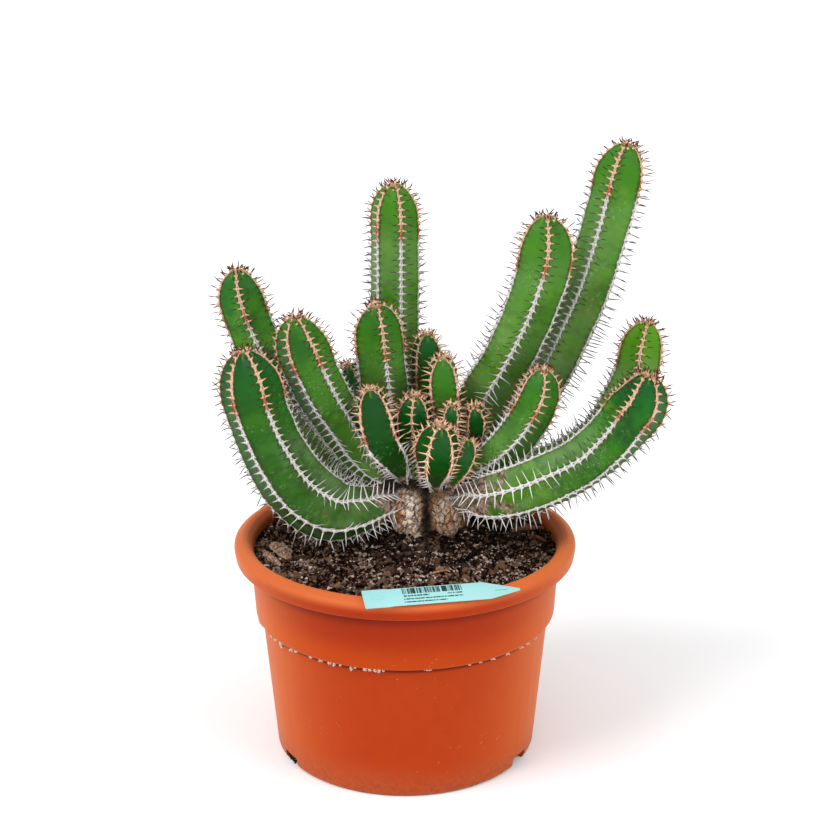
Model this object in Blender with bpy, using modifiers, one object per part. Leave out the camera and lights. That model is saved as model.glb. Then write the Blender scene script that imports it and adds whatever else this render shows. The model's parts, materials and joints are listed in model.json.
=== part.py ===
import math
import random

import bpy
import numpy as np
from mathutils import Vector, noise

MM = 0.001

# Pot: half section in mm, from the rim's inner edge over the rim and down the outside, then up the inside
RIM_RADIUS = 95.0
RIM_TOP = 124.6
POT_STEPS = 40
POT_OUTSIDE = (
    (87.5, 123.8), (90.0, RIM_TOP), (94.4, 122.3), (RIM_RADIUS, 119.8), (93.9, 114.0),
    (92.2, 114.0), (92.4, 120.0), (88.2, 120.6), (86.2, 118.5),
    (83.8, 81.4), (83.0, 80.6), (80.4, 80.2), (73.3, 2.0), (71.8, 0.0),
)
POT_FLOOR = 2.4
POT_INSIDE = ((70.0, POT_FLOOR), (78.5, 79.0), (81.8, 83.5), (84.6, 121.0))
NOTCH_SIZE = (14.0, 18.0, 12.0)
NOTCH_ANGLES = (-60.0, 60.0, 180.0)
NOTCH_RADIUS = 73.0

# Soil: fills the pot up to a low mound
SOIL_EDGE = 115.5
SOIL_MOUND = 2.6
SOIL_RADIUS = 83.8
SOIL_RINGS = (0.0, 30.0, 50.0, 68.0, SOIL_RADIUS)
SOIL_SIDE = ((81.5, 83.6), (78.2, 79.1), (69.7, 2.7), (0.0, 2.7))

# Trunk: lumps as centre and radii in mm, and how finely each is faceted
LUMPS = {
    "crown": ((14, 33.5, 138), (30, 26, 21), 3),
    "lobe left": ((0.5, 12, 132.5), (9.0, 10.5, 14.5), 3),
    "lobe right": ((23.0, 12.5, 131), (8.6, 11, 14.5), 3),
    "lobe dark": ((30, 18, 133), (7.6, 9, 14), 2),
    "shoulder": ((-10, 18, 148), (12, 10.5, 10.5), 2),
    "knob": ((28.0, 13, 146.6), (4.4, 5, 4.8), 2),
    "root left": ((7, 4, 118), (7, 6, 5), 2),
    "root front": ((15, -4, 118), (8, 8, 4.5), 2),
    "plug": ((13, 20, 112), (21, 19, 14), 2),
}
BUMPS = ((0.9, 0.16), (0.5, 0.4))
CUTTER_GROW = 0.35

# Stems: ribs, angle of the first rib in degrees from the front, and (x, y, z, radius) in mm from foot to tip.
# A twist turns the ribs by its degrees at the tip, and by less down to its reach in mm
STEMS = {
    "stem_01": (6, -35, ((-2, 20, 135, 6), (-9.5, 12, 137.5, 8.4), (-15.5, 5, 138.8, 10.8), (-29, -7, 140, 14.4),
        (-43, -13, 144, 18), (-58.5, -16, 158, 18.7), (-71, -18, 180.5, 17.6), (-78.5, -19, 202, 17),
        (-82, -20, 220, 17.2), (-84.8, -20, 236, 0))),
    "stem_02": (5, 0, ((-7.5, 28, 141, 6.3), (-23, 30, 147, 8), (-34, 31, 155, 10.8),
        (-45.5, 33, 167, 13), (-59.5, 35, 184.5, 14), (-73, 36, 206.5, 14), (-84, 37, 228, 13.7),
        (-90.5, 38, 248, 13.6), (-93.3, 38, 265.6, 0))),
    "stem_03": (6, -32, ((-9, 17, 149, 6), (-18.5, 13, 157, 7.7), (-26, 12, 167.6, 10.6),
        (-33, 10, 181, 12.7), (-43.6, 6, 201, 14.2), (-50.7, 3.2, 218, 14.6), (-56.2, 1.3, 235.3, 14.5),
        (-58.5, -0.4, 249.1, 0))),
    "stem_04": (6, 16, ((3.7, 36, 142, 6.3), (-0.3, 42, 155, 7.5), (-3.2, 48.7, 168, 10.9),
        (-5, 55.7, 184, 13.3), (-6, 62.5, 218, 14.1), (-6, 65.2, 246.7, 14.3), (-6, 66.6, 269.7, 14.2),
        (-6, 66.3, 291.6, 14.1), (-6.2, 65.3, 308.2, 0))),
    "stem_05": (4, 13, ((-0.8, 26.2, 142, 6.2), (-5.3, 27, 157.5, 7.4), (-8.6, 26.5, 170.8, 10.7),
        (-10.2, 27.2, 187.2, 13.2), (-12.2, 25, 206.6, 13.9), (-14.2, 22, 229.4, 13.7),
        (-15.6, 18.7, 250.7, 0))),
    "stem_06": (4, 45, ((-2, 15, 150, 4.6), (-3.2, 8.5, 158.5, 5.6), (-6.2, 2.5, 167, 8.6),
        (-10, -2.8, 174.8, 11), (-13, -6.5, 182.5, 12.3), (-16, -7.5, 195.5, 12.3), (-19, -6.7, 210.7, 0))),
    "stem_07": (4, -37, ((10.6, 30.8, 150, 5.7), (11.2, 35.3, 169.6, 7.4), (11.7, 39.4, 189, 9.6),
        (12.3, 41.4, 207.4, 10.7), (12.2, 42.4, 227.7, 0))),
    "stem_08": (4, 45, ((18, 25, 148, 5), (22.9, 23.3, 170.5, 7.4), (23.2, 20.4, 186, 9.8),
        (21.6, 19, 201.5, 11.2), (20.4, 18, 221.2, 0))),
    "stem_09": (6, -7, ((9, 18, 148, 5), (6.7, 13, 168.4, 7.8), (5.6, 9, 180.4, 9.9), (5, 6.6, 191, 10.4),
        (5.6, 6, 203.3, 0))),
    "stem_10": (5, -24, ((16, 11.4, 147.5, 4.6), (16, 5.6, 154.5, 6.2), (16.2, -0.7, 161.5, 8.5),
        (16.8, -7, 169, 11), (17.6, -12, 177, 12.6), (18.6, -15, 186, 12.4), (19.8, -16, 193.5, 0))),
    "stem_11": (4, 40, ((30, 31, 148, 4), (36.2, 29, 160, 5.7), (38.7, 25, 171.2, 7),
        (39.5, 15, 184, 6.9), (38, 9.5, 195.5, 0))),
    "stem_12": (4, -45, ((25.3, 10, 148, 3.5), (27.8, 3.4, 155.5, 4.4), (31.5, -0.5, 163.5, 6),
        (34.2, 0, 171.3, 6.9), (35, 2.5, 178.4, 0))),
    "stem_13": (5, 3, ((26, 40, 142, 6.3), (32.2, 45.5, 155.5, 9), (38.6, 46.4, 173, 13.6),
        (46, 41, 193, 15.2), (56, 34.5, 213.6, 14.8), (65.8, 30.4, 236.8, 14.9), (72, 28, 256, 15.4),
        (76, 27.2, 274.3, 15.8), (76.6, 26.8, 298.2, 0))),
    "stem_14": (5, -22, ((34, 47, 134, 6.4), (46.7, 54, 147.7, 7.6), (59.5, 58, 163.5, 12.2),
        (72, 57.3, 181.5, 14.4), (85.6, 56, 206.7, 14.9), (95, 54.3, 229, 15), (103, 54, 249.6, 14.9),
        (112.7, 55.4, 283.7, 14.8), (119.6, 57.6, 314.2, 15), (122.9, 58, 331.9, 0))),
    "stem_15": (5, 11, ((32, 20.3, 149, 5.1), (40.7, 14.4, 157, 8.2), (50, 10.7, 166, 10.6),
        (60.2, 7.4, 178, 12.1), (67.5, 6, 190, 12.6), (72.7, 4.6, 203.2, 12), (75, 4.2, 218.7, 0))),
    "stem_16": (6, -10, ((29, 12, 140, 6.5), (37.2, 2.1, 144.6, 8.8), (45.7, -4.8, 147, 13),
        (60, -12.4, 153, 15), (75, -14.8, 160, 15.7), (92.6, -15.6, 169.4, 15.4),
        (108.4, -15.3, 182.4, 15.3), (120.7, -15.8, 197.3, 15.5), (126.7, -16.7, 207.2, 15.5),
        (130.3, -16.7, 221.7, 0))),
    "stem_17": (5, -6, ((34.7, 36, 142, 6.3), (45.7, 37, 142, 7.3), (63, 39.5, 144.2, 10.4),
        (83, 41, 148.7, 12.4), (100, 42, 157, 12.9), (113.6, 43, 168.7, 12.9), (123.3, 43, 186.8, 13.1),
        (130.5, 43, 204.6, 13), (132.8, 43, 218.7, 13), (136.1, 43, 234.5, 0))),
    "stem_18": (4, 20, ((-3, 46, 142, 5.2), (-12.1, 59, 153.4, 7.6), (-21, 66.3, 168.2, 9.4),
        (-27.8, 67.6, 185, 9.9), (-33.3, 65, 202.8, 0))),
    "stem_19": (5, 10, ((8, 52, 131, 5.9), (-0.6, 72.6, 144.2, 7.7), (-5.3, 81.5, 163, 11.3),
        (-10.7, 89, 188.7, 12.8), (-12.8, 88.5, 222.7, 0))),
    "stem_20": (5, 20, ((22, 51, 137, 5.8), (33, 64.7, 150, 8.2), (45, 78.4, 161, 11.3),
        (57, 88, 179.7, 12.5), (62.6, 88.7, 205.5, 0))),
    "stem_21": (5, 0, ((-7, 46, 131, 5.9), (-18.5, 66, 139, 8.3), (-32, 77, 150.8, 11.9),
        (-47.5, 83, 170, 12.5), (-55.3, 83.2, 196, 0))),
    "stem_22": (4, 40, ((20.5, 17, 149, 3.2), (21.5, 12.5, 163, 3.6), (23.5, 6.5, 177, 5.6),
        (25.3, 3.6, 187, 5.9), (25.9, 2.8, 199, 0))),
}
TWISTS = {"stem_16": -24.0}
TWIST_REACH = 60.0
FRONT = Vector((0, -0.948, 0.317))
PATH_STEPS = 20
DOME_LENGTH = 1.4
DOME_POWER = 0.56
TOP_GAP = 0.9
CREST_HALF = 1.15
CREST_SHARE = 0.22
VALLEY_SHARE = 0.93
VALLEY_STEP = 30.0

# Spine rows on a rib: how far below the tip each comes, closer where the stem bends from its neck
AREOLE_SPAN = 2.0
AREOLE_FIRST = 3.2
AREOLE_STEPS = (7.0, 11.0, 15.0)
AREOLE_STEP = 18.0
AREOLE_SHIFT = 4.5
FOOT = 6.0
NECK = 50.0
NECK_STEP = 11.0

# Spines: length near the tip and low down, spread to each side in degrees, and the room each keeps
SPINE_TIP = 5.4
SPINE_LOW = 8.0
SPINE_AGEING = (45.0, 105.0)
SPREAD = 62.0
NEIGHBOUR_ROOM = 0.5
TRUNK_ROOM = 2.0
SOIL_ROOM = 1.2
RIM_ROOM = 1.5
NEAR = 60.0

# Label: strip across the front of the rim
LABEL_OUTLINE = (
    (-41, -7.0), (-40.4, -7.6), (-28, -7.6), (-26, -7.2), (24, -7.2), (40.2, -1.8), (40.2, -0.6),
    (22, 6.9), (-27.5, 6.9), (-29, 7.3), (-41, 7.3),
)
LABEL_THICK = 0.6
LABEL_PLACE = 13.0
LABEL_YAW = 10.5
LABEL_TILT = 12.0
LABEL_OFFSET = 1.8
LABEL_REST = 90.0
LABEL_LIFT = 0.45

# Loose pieces on the soil: (x, y, height over the soil, radius) in mm, bevel resolution, and how flat each lies
LOOSE = {
    "wood_chip": (1, 0.5, (
        (-73, -0.5, 0.6, 2.0), (-70.5, -8, 0.6, 4.4), (-66.5, -16, 0.6, 4.0), (-63.5, -22.5, 0.6, 1.6))),
    "bark_shred": (1, 0.55, (
        (-78, -9, 0.6, 1.1), (-75.8, -16.5, 0.6, 2.3), (-71, -24.5, 0.6, 2.2), (-67, -30, 0.6, 0.9))),
    "twig_left": (1, 1.0, (
        (60, 17, 0.6, 1.2), (68, 20, 1.3, 1.4), (75, 22.5, 1.0, 1.3), (80, 24.5, 0.6, 0.9))),
    "twig_right": (1, 1.0, ((70, 11.5, 0.6, 1.0), (75, 8, 0.8, 1.2), (79, 4, 0.6, 0.8))),
    "straw": (0, 1.0, ((15.3, -43.3, 0.6, 0.7), (19.5, -41.5, 1.0, 0.7), (23.4, -39.3, 0.6, 0.6))),
}


def clearScene():
    for obj in list(bpy.data.objects):
        bpy.data.objects.remove(obj, do_unlink=True)


def makeCollection(name):
    group = bpy.data.collections.new(name)
    bpy.context.scene.collection.children.link(group)
    return group


def makeMaterial(name, colour, roughness):
    material = bpy.data.materials.new(name)
    material.use_nodes = True
    shader = material.node_tree.nodes["Principled BSDF"]
    shader.inputs["Base Color"].default_value = (*colour, 1)
    shader.inputs["Roughness"].default_value = roughness
    return material


def addObject(name, mesh, materials, group):
    obj = bpy.data.objects.new(name, mesh)
    for material in materials:
        mesh.materials.append(material)
    group.objects.link(obj)
    return obj


def moveTo(obj, group):
    for old in list(obj.users_collection):
        old.objects.unlink(obj)
    group.objects.link(obj)


def makeCutter(obj, cutters):
    moveTo(obj, cutters)
    obj.hide_render = True
    obj.display_type = "WIRE"


def boolean(obj, operation, other, solver="EXACT"):
    modifier = obj.modifiers.new(operation.title() + " " + other.name, "BOOLEAN")
    modifier.operation = operation
    modifier.solver = solver
    modifier.object = other


def meshOf(name, points, faces, slots=None):
    mesh = bpy.data.meshes.new(name)
    mesh.from_pydata([tuple(c * MM for c in p) for p in points], [], faces)
    if slots:
        mesh.polygons.foreach_set("material_index", slots)
    mesh.update()
    return mesh


def spin(name, profile, materials, group):
    """A half section turned once about the Z axis."""
    points = [(r, 0, z) for r, z in profile]
    mesh = meshOf(name, points, [])
    mesh.edges.add(len(points) - 1)
    mesh.edges.foreach_set("vertices", [i for k in range(len(points) - 1) for i in (k, k + 1)])
    obj = addObject(name, mesh, materials, group)
    screw = obj.modifiers.new("Turn", "SCREW")
    screw.steps = POT_STEPS
    screw.render_steps = POT_STEPS
    screw.use_merge_vertices = True
    screw.merge_threshold = 0.0001
    return obj


def buildPot(group, cutters, plastic):
    profile = ((0, POT_FLOOR), *POT_INSIDE, *POT_OUTSIDE, (0, 0))
    pot = spin("pot", profile, [plastic], group)
    for angle in NOTCH_ANGLES:
        turn = math.radians(angle)
        bpy.ops.mesh.primitive_cube_add(size=MM)
        notch = bpy.context.object
        notch.name = f"notch {angle:+.0f}"
        notch.scale = NOTCH_SIZE
        notch.location = Vector((math.sin(turn), -math.cos(turn), 0)) * NOTCH_RADIUS * MM
        notch.rotation_euler.z = turn
        makeCutter(notch, cutters)
        boolean(pot, "DIFFERENCE", notch)


def soilHeight(x, y):
    return SOIL_EDGE + SOIL_MOUND * (1 - (x * x + y * y) / SOIL_RADIUS**2)


def buildSoil(group, trunkCutter, soil):
    profile = [(r, soilHeight(r, 0)) for r in SOIL_RINGS]
    profile += SOIL_SIDE
    obj = spin("soil", profile, [soil], group)
    boolean(obj, "DIFFERENCE", trunkCutter)


def addLump(name, grow, material):
    """An ellipsoid with a bark-like unevenness, its surface moved out by grow."""
    centre, radii, detail = LUMPS[name]
    bpy.ops.mesh.primitive_ico_sphere_add(subdivisions=detail, radius=1)
    obj = bpy.context.object
    obj.name = name
    for vertex in obj.data.vertices:
        unit = vertex.co.normalized()
        out = Vector([unit[k] / radii[k] for k in range(3)]).normalized()
        spot = Vector([centre[k] + unit[k] * radii[k] for k in range(3)])
        bump = sum(high * noise.noise(spot * fine) for high, fine in BUMPS)
        vertex.co = (spot + out * (bump + grow)) * MM
    obj.data.materials.append(material)
    return obj


def buildTrunk(name, grow, cutters, bark):
    """The lumps joined into one solid."""
    trunk, *others = (addLump(lump, grow, bark) for lump in LUMPS)
    trunk.name = name
    for other in others:
        makeCutter(other, cutters)
        boolean(trunk, "UNION", other)
    return trunk


class Path:
    """A smooth line through a stem's points, read by its length from the foot in mm."""

    def __init__(self, rows):
        places = [Vector(row[:3]) for row in rows]
        radii = [row[3] for row in rows[:-1]]
        radii.append(radii[-1])
        samples = []
        last = len(places) - 1
        for k in range(last):
            around = [max(k - 1, 0), k, k + 1, min(k + 2, last)]
            for step in range(PATH_STEPS):
                t = step / PATH_STEPS
                weights = (
                    0.5 * (-t + 2 * t * t - t**3),
                    0.5 * (2 - 5 * t * t + 3 * t**3),
                    0.5 * (t + 4 * t * t - 3 * t**3),
                    0.5 * (t**3 - t * t),
                )
                place = sum((w * places[i] for w, i in zip(weights, around)), Vector())
                radius = sum(w * radii[i] for w, i in zip(weights, around))
                samples.append((place, radius))
        samples.append((places[last], radii[last]))
        self.places = [place for place, _ in samples]
        self.radii = [radius for _, radius in samples]
        self.lengths = [0.0]
        for a, b in zip(self.places, self.places[1:]):
            self.lengths.append(self.lengths[-1] + (b - a).length)
        self.length = self.lengths[-1]

    def at(self, s):
        k = int(np.clip(np.searchsorted(self.lengths, s) - 1, 0, len(self.lengths) - 2))
        t = (s - self.lengths[k]) / (self.lengths[k + 1] - self.lengths[k])
        return k, t

    def place(self, s):
        k, t = self.at(s)
        return self.places[k].lerp(self.places[k + 1], t)

    def radius(self, s):
        """The rib crests' distance from the middle, closing in a dome at the tip."""
        k, t = self.at(s)
        full = self.radii[k] * (1 - t) + self.radii[k + 1] * t
        x = min(max((self.length - s) / (DOME_LENGTH * full), 0), 1)
        return full * (1 - (1 - x) ** 2) ** DOME_POWER

    def frame(self, s):
        """The path's direction, and the two directions across it that face the front and the side."""
        along = (self.place(min(s + 2, self.length)) - self.place(max(s - 2, 0))).normalized()
        front = (FRONT - along * FRONT.dot(along)).normalized()
        return along, front, along.cross(front)


class Stem:
    """A stem's form, and how far a point is from its surface."""

    def __init__(self, name):
        self.name = name
        self.ribs, self.first, rows = STEMS[name]
        self.twist = TWISTS.get(name, 0)
        self.path = Path(rows)
        stops = np.arange(0, self.path.length, 2.0)
        self.middle = np.array([self.path.place(s)[:] for s in stops])
        self.girth = np.array([self.path.radius(s) for s in stops])

    def spoke(self, s, step):
        """The outward direction at a rib, or between two at a half step, and the direction round the stem."""
        along, front, side = self.path.frame(s)
        twist = self.twist * max(1 - (self.path.length - s) / TWIST_REACH, 0)
        turn = math.radians(self.first + twist + 360 * step / self.ribs)
        out = front * math.cos(turn) + side * math.sin(turn)
        return along, out, along.cross(out)

    def crest(self, s, rib, sign):
        _, out, around = self.spoke(s, rib)
        radius = self.path.radius(s)
        half = min(CREST_HALF, CREST_SHARE * radius)
        return self.path.place(s) + out * radius - around * half * sign

    def valley(self, s, rib):
        _, out, _ = self.spoke(s, rib + 0.5)
        share = VALLEY_SHARE * math.cos(math.pi / self.ribs)
        return self.path.place(s) + out * self.path.radius(s) * share

    def clearance(self, point):
        return float((np.linalg.norm(self.middle - np.array(point[:]), axis=1) - self.girth).min())

    def nears(self, other):
        return np.linalg.norm(self.middle[:, None] - other.middle[None], axis=2).min() < NEAR


def lumpClearance(point):
    nearest = []
    for centre, radii, _ in LUMPS.values():
        scaled = Vector([(point[k] - centre[k]) / radii[k] for k in range(3)])
        nearest.append((scaled.length - 1) * min(radii))
    return min(nearest)


def spineFits(root, tip, stem, others):
    """Whether a spine stays nearer its own stem than any other, and off the trunk, the soil and the pot."""
    for share in (0.35, 0.55, 0.75, 1.0):
        point = root.lerp(tip, share)
        own = stem.clearance(point)
        if any(other.clearance(point) < own + NEIGHBOUR_ROOM for other in others):
            return False
        if lumpClearance(point) < TRUNK_ROOM:
            return False
        reach = math.hypot(point.x, point.y)
        if reach < RIM_RADIUS and point.z < soilHeight(point.x, point.y) + SOIL_ROOM:
            return False
        if SOIL_RADIUS - 4 < reach < RIM_RADIUS + 6 and point.z < RIM_TOP + RIM_ROOM:
            return False
    return True


def zipStrip(a, b):
    """Triangles between two rows of (length, index)."""
    faces = []
    i = j = 0
    while i < len(a) - 1 or j < len(b) - 1:
        if j == len(b) - 1 or (i < len(a) - 1 and a[i + 1][0] <= b[j + 1][0]):
            faces.append((a[i][1], a[i + 1][1], b[j][1]))
            i += 1
        else:
            faces.append((a[i][1], b[j + 1][1], b[j][1]))
            j += 1
    return faces


def areoleStops(path, shift):
    """Lengths of the spine rows on one rib, close together near the tip."""
    stops = []
    down = AREOLE_FIRST
    while down < path.length - FOOT:
        stops.append(path.length - down - (shift if stops else 0))
        step = AREOLE_STEPS[len(stops) - 1] if len(stops) <= len(AREOLE_STEPS) else AREOLE_STEP
        down += step if path.length - down > NECK else min(step, NECK_STEP)
    return sorted(stop for stop in stops if stop > FOOT)


def valleyStops(path):
    """Lengths at which the hollow between two ribs is drawn."""
    end = path.length - TOP_GAP
    full = path.radii[-1]
    stops = [0.0, end, end - 0.3 * full]
    stop = end - 0.9 * full
    while stop > FOOT:
        stops.append(stop)
        stop -= VALLEY_STEP if stop > NECK + 20 else NECK_STEP
    return sorted(stops)


class StemMesh:
    """The skin, horny rib crests and spines of one stem, as one closed mesh."""

    SKIN, HORN, SPINE = range(3)

    def __init__(self, stem, others):
        self.stem = stem
        self.near = [other for other in others if stem.nears(other)]
        self.rng = random.Random(stem.name)
        self.points = []
        self.faces = []
        self.slots = []
        self.end = stem.path.length - TOP_GAP
        crests = [self.addRib(rib) for rib in range(stem.ribs)]
        stops = valleyStops(stem.path)
        valleys = [[(s, self.addPoint(stem.valley(s, rib))) for s in stops] for rib in range(stem.ribs)]
        foot = self.addPoint(stem.path.place(0))
        top = self.addPoint(stem.path.place(stem.path.length))
        for rib, valley in enumerate(valleys):
            left, right = crests[rib]
            after = crests[(rib + 1) % stem.ribs][0]
            for a, b, c in zipStrip(right, valley):
                self.addFace((c, b, a), self.SKIN)
            for face in zipStrip(after, valley):
                self.addFace(face, self.SKIN)
            self.addFan([row[0][1] for row in (after, valley, right, left)], foot)
            self.addFan([row[-1][1] for row in (left, right, valley, after)], top)

    def addPoint(self, place):
        self.points.append(place)
        return len(self.points) - 1

    def addFace(self, corners, slot):
        self.faces.append(corners)
        self.slots.append(slot)

    def addFan(self, row, hub):
        for a, b in zip(row, row[1:]):
            self.addFace((a, b, hub), self.SKIN)

    def addRib(self, rib):
        """One rib's crest from foot to tip. Returns its two edges as rows of (length, index)."""
        edges = [], []

        def cross(s):
            for edge, sign in zip(edges, (1, -1)):
                edge.append((s, self.addPoint(self.stem.crest(s, rib, sign))))

        def strip():
            (a, b), (c, d) = ((edge[-2][1], edge[-1][1]) for edge in edges)
            return a, c, d, b

        cross(0.0)
        for s in areoleStops(self.stem.path, (rib % 2) * AREOLE_SHIFT):
            cross(s - AREOLE_SPAN / 2)
            self.addFace(strip(), self.HORN)
            upper = [self.stem.crest(s + AREOLE_SPAN / 2, rib, sign) for sign in (1, -1)]
            lower = [self.points[edge[-1][1]] for edge in edges]
            tips = (
                self.spineTip(s, rib, 1, (lower[0] + upper[0] + upper[1]) / 3),
                self.spineTip(s, rib, -1, (lower[0] + lower[1] + upper[1]) / 3),
            )
            if tips == (None, None):
                continue
            cross(s + AREOLE_SPAN / 2)
            a, b, c, d = strip()
            self.addSpine((a, c, d), tips[0])
            self.addSpine((a, b, c), tips[1])
        cross(self.end)
        self.addFace(strip(), self.HORN)
        return edges

    def addSpine(self, corners, tip):
        """A three-sided needle on a triangle of the crest, or the bare triangle where there is no room."""
        if tip is None:
            self.addFace(corners, self.HORN)
            return
        point = self.addPoint(tip)
        for a, b in zip(corners, corners[1:] + corners[:1]):
            self.addFace((a, b, point), self.SPINE)

    def spineTip(self, s, rib, sign, root):
        """Where a spine's point lies, or None where it has no room."""
        path = self.stem.path
        along, out, around = self.stem.spoke(s, rib)
        slope = (path.radius(min(s + 1, path.length)) - path.radius(s - 1)) / 2
        normal = (out - along * slope).normalized()
        young, old = SPINE_AGEING
        age = min(max((path.length - s - young) / (old - young), 0), 1)
        length = (SPINE_TIP + (SPINE_LOW - SPINE_TIP) * age) * self.rng.uniform(0.88, 1.1)
        spread = math.radians(SPREAD + self.rng.uniform(-9, 9)) * sign
        toward = normal * math.cos(spread) - around * math.sin(spread)
        toward = (toward + along * self.rng.uniform(-0.12, 0.22)).normalized()
        between = 2 * path.radius(s) * math.sin(math.pi / self.stem.ribs) - 2 * CREST_HALF
        length = min(length, 0.85 * between + 1.2)
        for share in (1.0, 0.78, 0.58):
            tip = root + toward * length * share
            if spineFits(root, tip, self.stem, self.near):
                return tip
        return None


def buildStems(group, trunkCutter, materials):
    stems = [Stem(name) for name in STEMS]
    for stem in stems:
        shape = StemMesh(stem, [other for other in stems if other is not stem])
        mesh = meshOf(stem.name, shape.points, shape.faces, shape.slots)
        obj = addObject(stem.name, mesh, materials, group)
        boolean(obj, "DIFFERENCE", trunkCutter, "MANIFOLD")


def addRod(name, rows, resolution, flat, group, material):
    """A rod of uneven thickness that follows the soil, pressed flat by its scale."""
    curve = bpy.data.curves.new(name, "CURVE")
    curve.dimensions = "3D"
    curve.bevel_depth = MM
    curve.bevel_resolution = resolution
    curve.use_fill_caps = True
    spline = curve.splines.new("POLY")
    spline.points.add(len(rows) - 1)
    base = soilHeight(rows[0][0], rows[0][1])
    for point, (x, y, lift, radius) in zip(spline.points, rows):
        rise = soilHeight(x, y) - base + lift + radius * flat
        point.co = (x * MM, y * MM, rise * MM / flat, 1)
        point.radius = radius
    obj = addObject(name, curve, [material], group)
    obj.location.z = base * MM
    obj.scale.z = flat


def buildLabel(group, plastic):
    """A thin pointed strip that lies across the rim."""
    curve = bpy.data.curves.new("label", "CURVE")
    curve.dimensions = "2D"
    curve.fill_mode = "BOTH"
    curve.extrude = LABEL_THICK / 2 * MM
    spline = curve.splines.new("POLY")
    spline.use_cyclic_u = True
    spline.points.add(len(LABEL_OUTLINE) - 1)
    for point, (u, v) in zip(spline.points, LABEL_OUTLINE):
        point.co = (u * MM, v * MM, 0, 1)
    obj = addObject("label", curve, [plastic], group)
    place, yaw, tilt = (math.radians(angle) for angle in (LABEL_PLACE, LABEL_YAW, LABEL_TILT))
    crest = Vector((math.sin(place) * LABEL_REST, -math.cos(place) * LABEL_REST, RIM_TOP + LABEL_LIFT))
    obj.rotation_euler = (tilt, 0, yaw)
    turn = obj.rotation_euler.to_matrix()
    obj.location = (crest + turn @ Vector((0, LABEL_OFFSET, LABEL_THICK / 2))) * MM


def main():
    clearScene()
    parts = makeCollection("parts")
    cutters = makeCollection("cutters")
    cutters.hide_render = True
    plastic = makeMaterial("terracotta plastic", (0.52, 0.09, 0.02), 0.45)
    soil = makeMaterial("potting soil", (0.035, 0.02, 0.012), 0.95)
    bark = makeMaterial("trunk bark", (0.17, 0.11, 0.06), 0.9)
    skin = makeMaterial("stem skin", (0.05, 0.19, 0.05), 0.5)
    horn = makeMaterial("rib horn", (0.5, 0.4, 0.3), 0.7)
    spine = makeMaterial("spine", (0.42, 0.25, 0.15), 0.6)
    aqua = makeMaterial("label plastic", (0.3, 0.75, 0.75), 0.5)
    wood = makeMaterial("dry wood", (0.3, 0.19, 0.1), 0.85)
    buildPot(parts, cutters, plastic)
    moveTo(buildTrunk("trunk", 0, cutters, bark), parts)
    grown = buildTrunk("trunk grown", CUTTER_GROW, cutters, bark)
    makeCutter(grown, cutters)
    buildSoil(parts, grown, soil)
    buildStems(parts, grown, [skin, horn, spine])
    buildLabel(parts, aqua)
    for name, (resolution, flat, rows) in LOOSE.items():
        addRod(name, rows, resolution, flat, parts, wood)


main()
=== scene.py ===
import json
import random
from math import cos, hypot, pi, radians, sin

import bmesh
import bpy
from mathutils import Euler, Matrix, Vector, noise

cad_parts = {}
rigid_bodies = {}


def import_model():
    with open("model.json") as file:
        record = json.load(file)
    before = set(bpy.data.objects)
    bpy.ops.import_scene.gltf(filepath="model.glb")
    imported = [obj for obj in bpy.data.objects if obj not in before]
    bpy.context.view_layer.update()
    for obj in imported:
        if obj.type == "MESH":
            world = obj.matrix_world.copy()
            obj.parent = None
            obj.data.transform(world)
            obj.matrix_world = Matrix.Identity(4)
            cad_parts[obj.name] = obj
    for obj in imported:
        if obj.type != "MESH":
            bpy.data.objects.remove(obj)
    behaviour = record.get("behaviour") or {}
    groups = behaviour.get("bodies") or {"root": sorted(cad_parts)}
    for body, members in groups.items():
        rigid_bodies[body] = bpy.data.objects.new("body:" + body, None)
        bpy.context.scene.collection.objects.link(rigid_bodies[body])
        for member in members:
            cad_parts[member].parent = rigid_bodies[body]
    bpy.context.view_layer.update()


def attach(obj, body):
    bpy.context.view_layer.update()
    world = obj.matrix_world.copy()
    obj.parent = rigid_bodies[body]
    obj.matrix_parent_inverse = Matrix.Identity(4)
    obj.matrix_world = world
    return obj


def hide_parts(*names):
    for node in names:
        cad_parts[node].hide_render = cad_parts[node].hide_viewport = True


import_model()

mm = 0.001
scene = bpy.context.scene
scene.view_settings.view_transform = "Standard"
body = "root"


# Node trees: a Value is a field or a colour on its way through a tree, and sums like a plain number
def pick(sockets, key):
    if isinstance(key, int):
        return sockets[key]
    return next(s for s in sockets if s.name == key and s.enabled)


def feed(socket, item):
    if isinstance(item, Value):
        item.tree.links.new(item.socket, socket)
    elif item is not None:
        if socket.type == "RGBA" and len(item) == 3:
            item = (*item, 1)
        socket.default_value = item


class Value:
    def __init__(self, tree, socket):
        self.tree = tree
        self.socket = socket

    def combine(self, operation, *items):
        vector = any(isinstance(item, Value) and item.socket.type == "VECTOR" for item in items)
        node = self.tree.nodes.new("ShaderNodeVectorMath" if vector else "ShaderNodeMath")
        node.operation = operation
        for socket, item in zip(node.inputs, items):
            feed(socket, (item,) * 3 if vector and isinstance(item, (int, float)) else item)
        return Value(self.tree, pick(node.outputs, "Value" if operation in ("DOT_PRODUCT", "LENGTH") else 0))

    def axis(self, name):
        return Tree(self.tree).value("SeparateXYZ", name, Vector=self)


def makeOperator(operation, turned=False):  # turned for a sum whose left side is a plain number
    return lambda a, *b: a.combine(operation, *((*b, a) if turned else (a, *b)))


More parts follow.
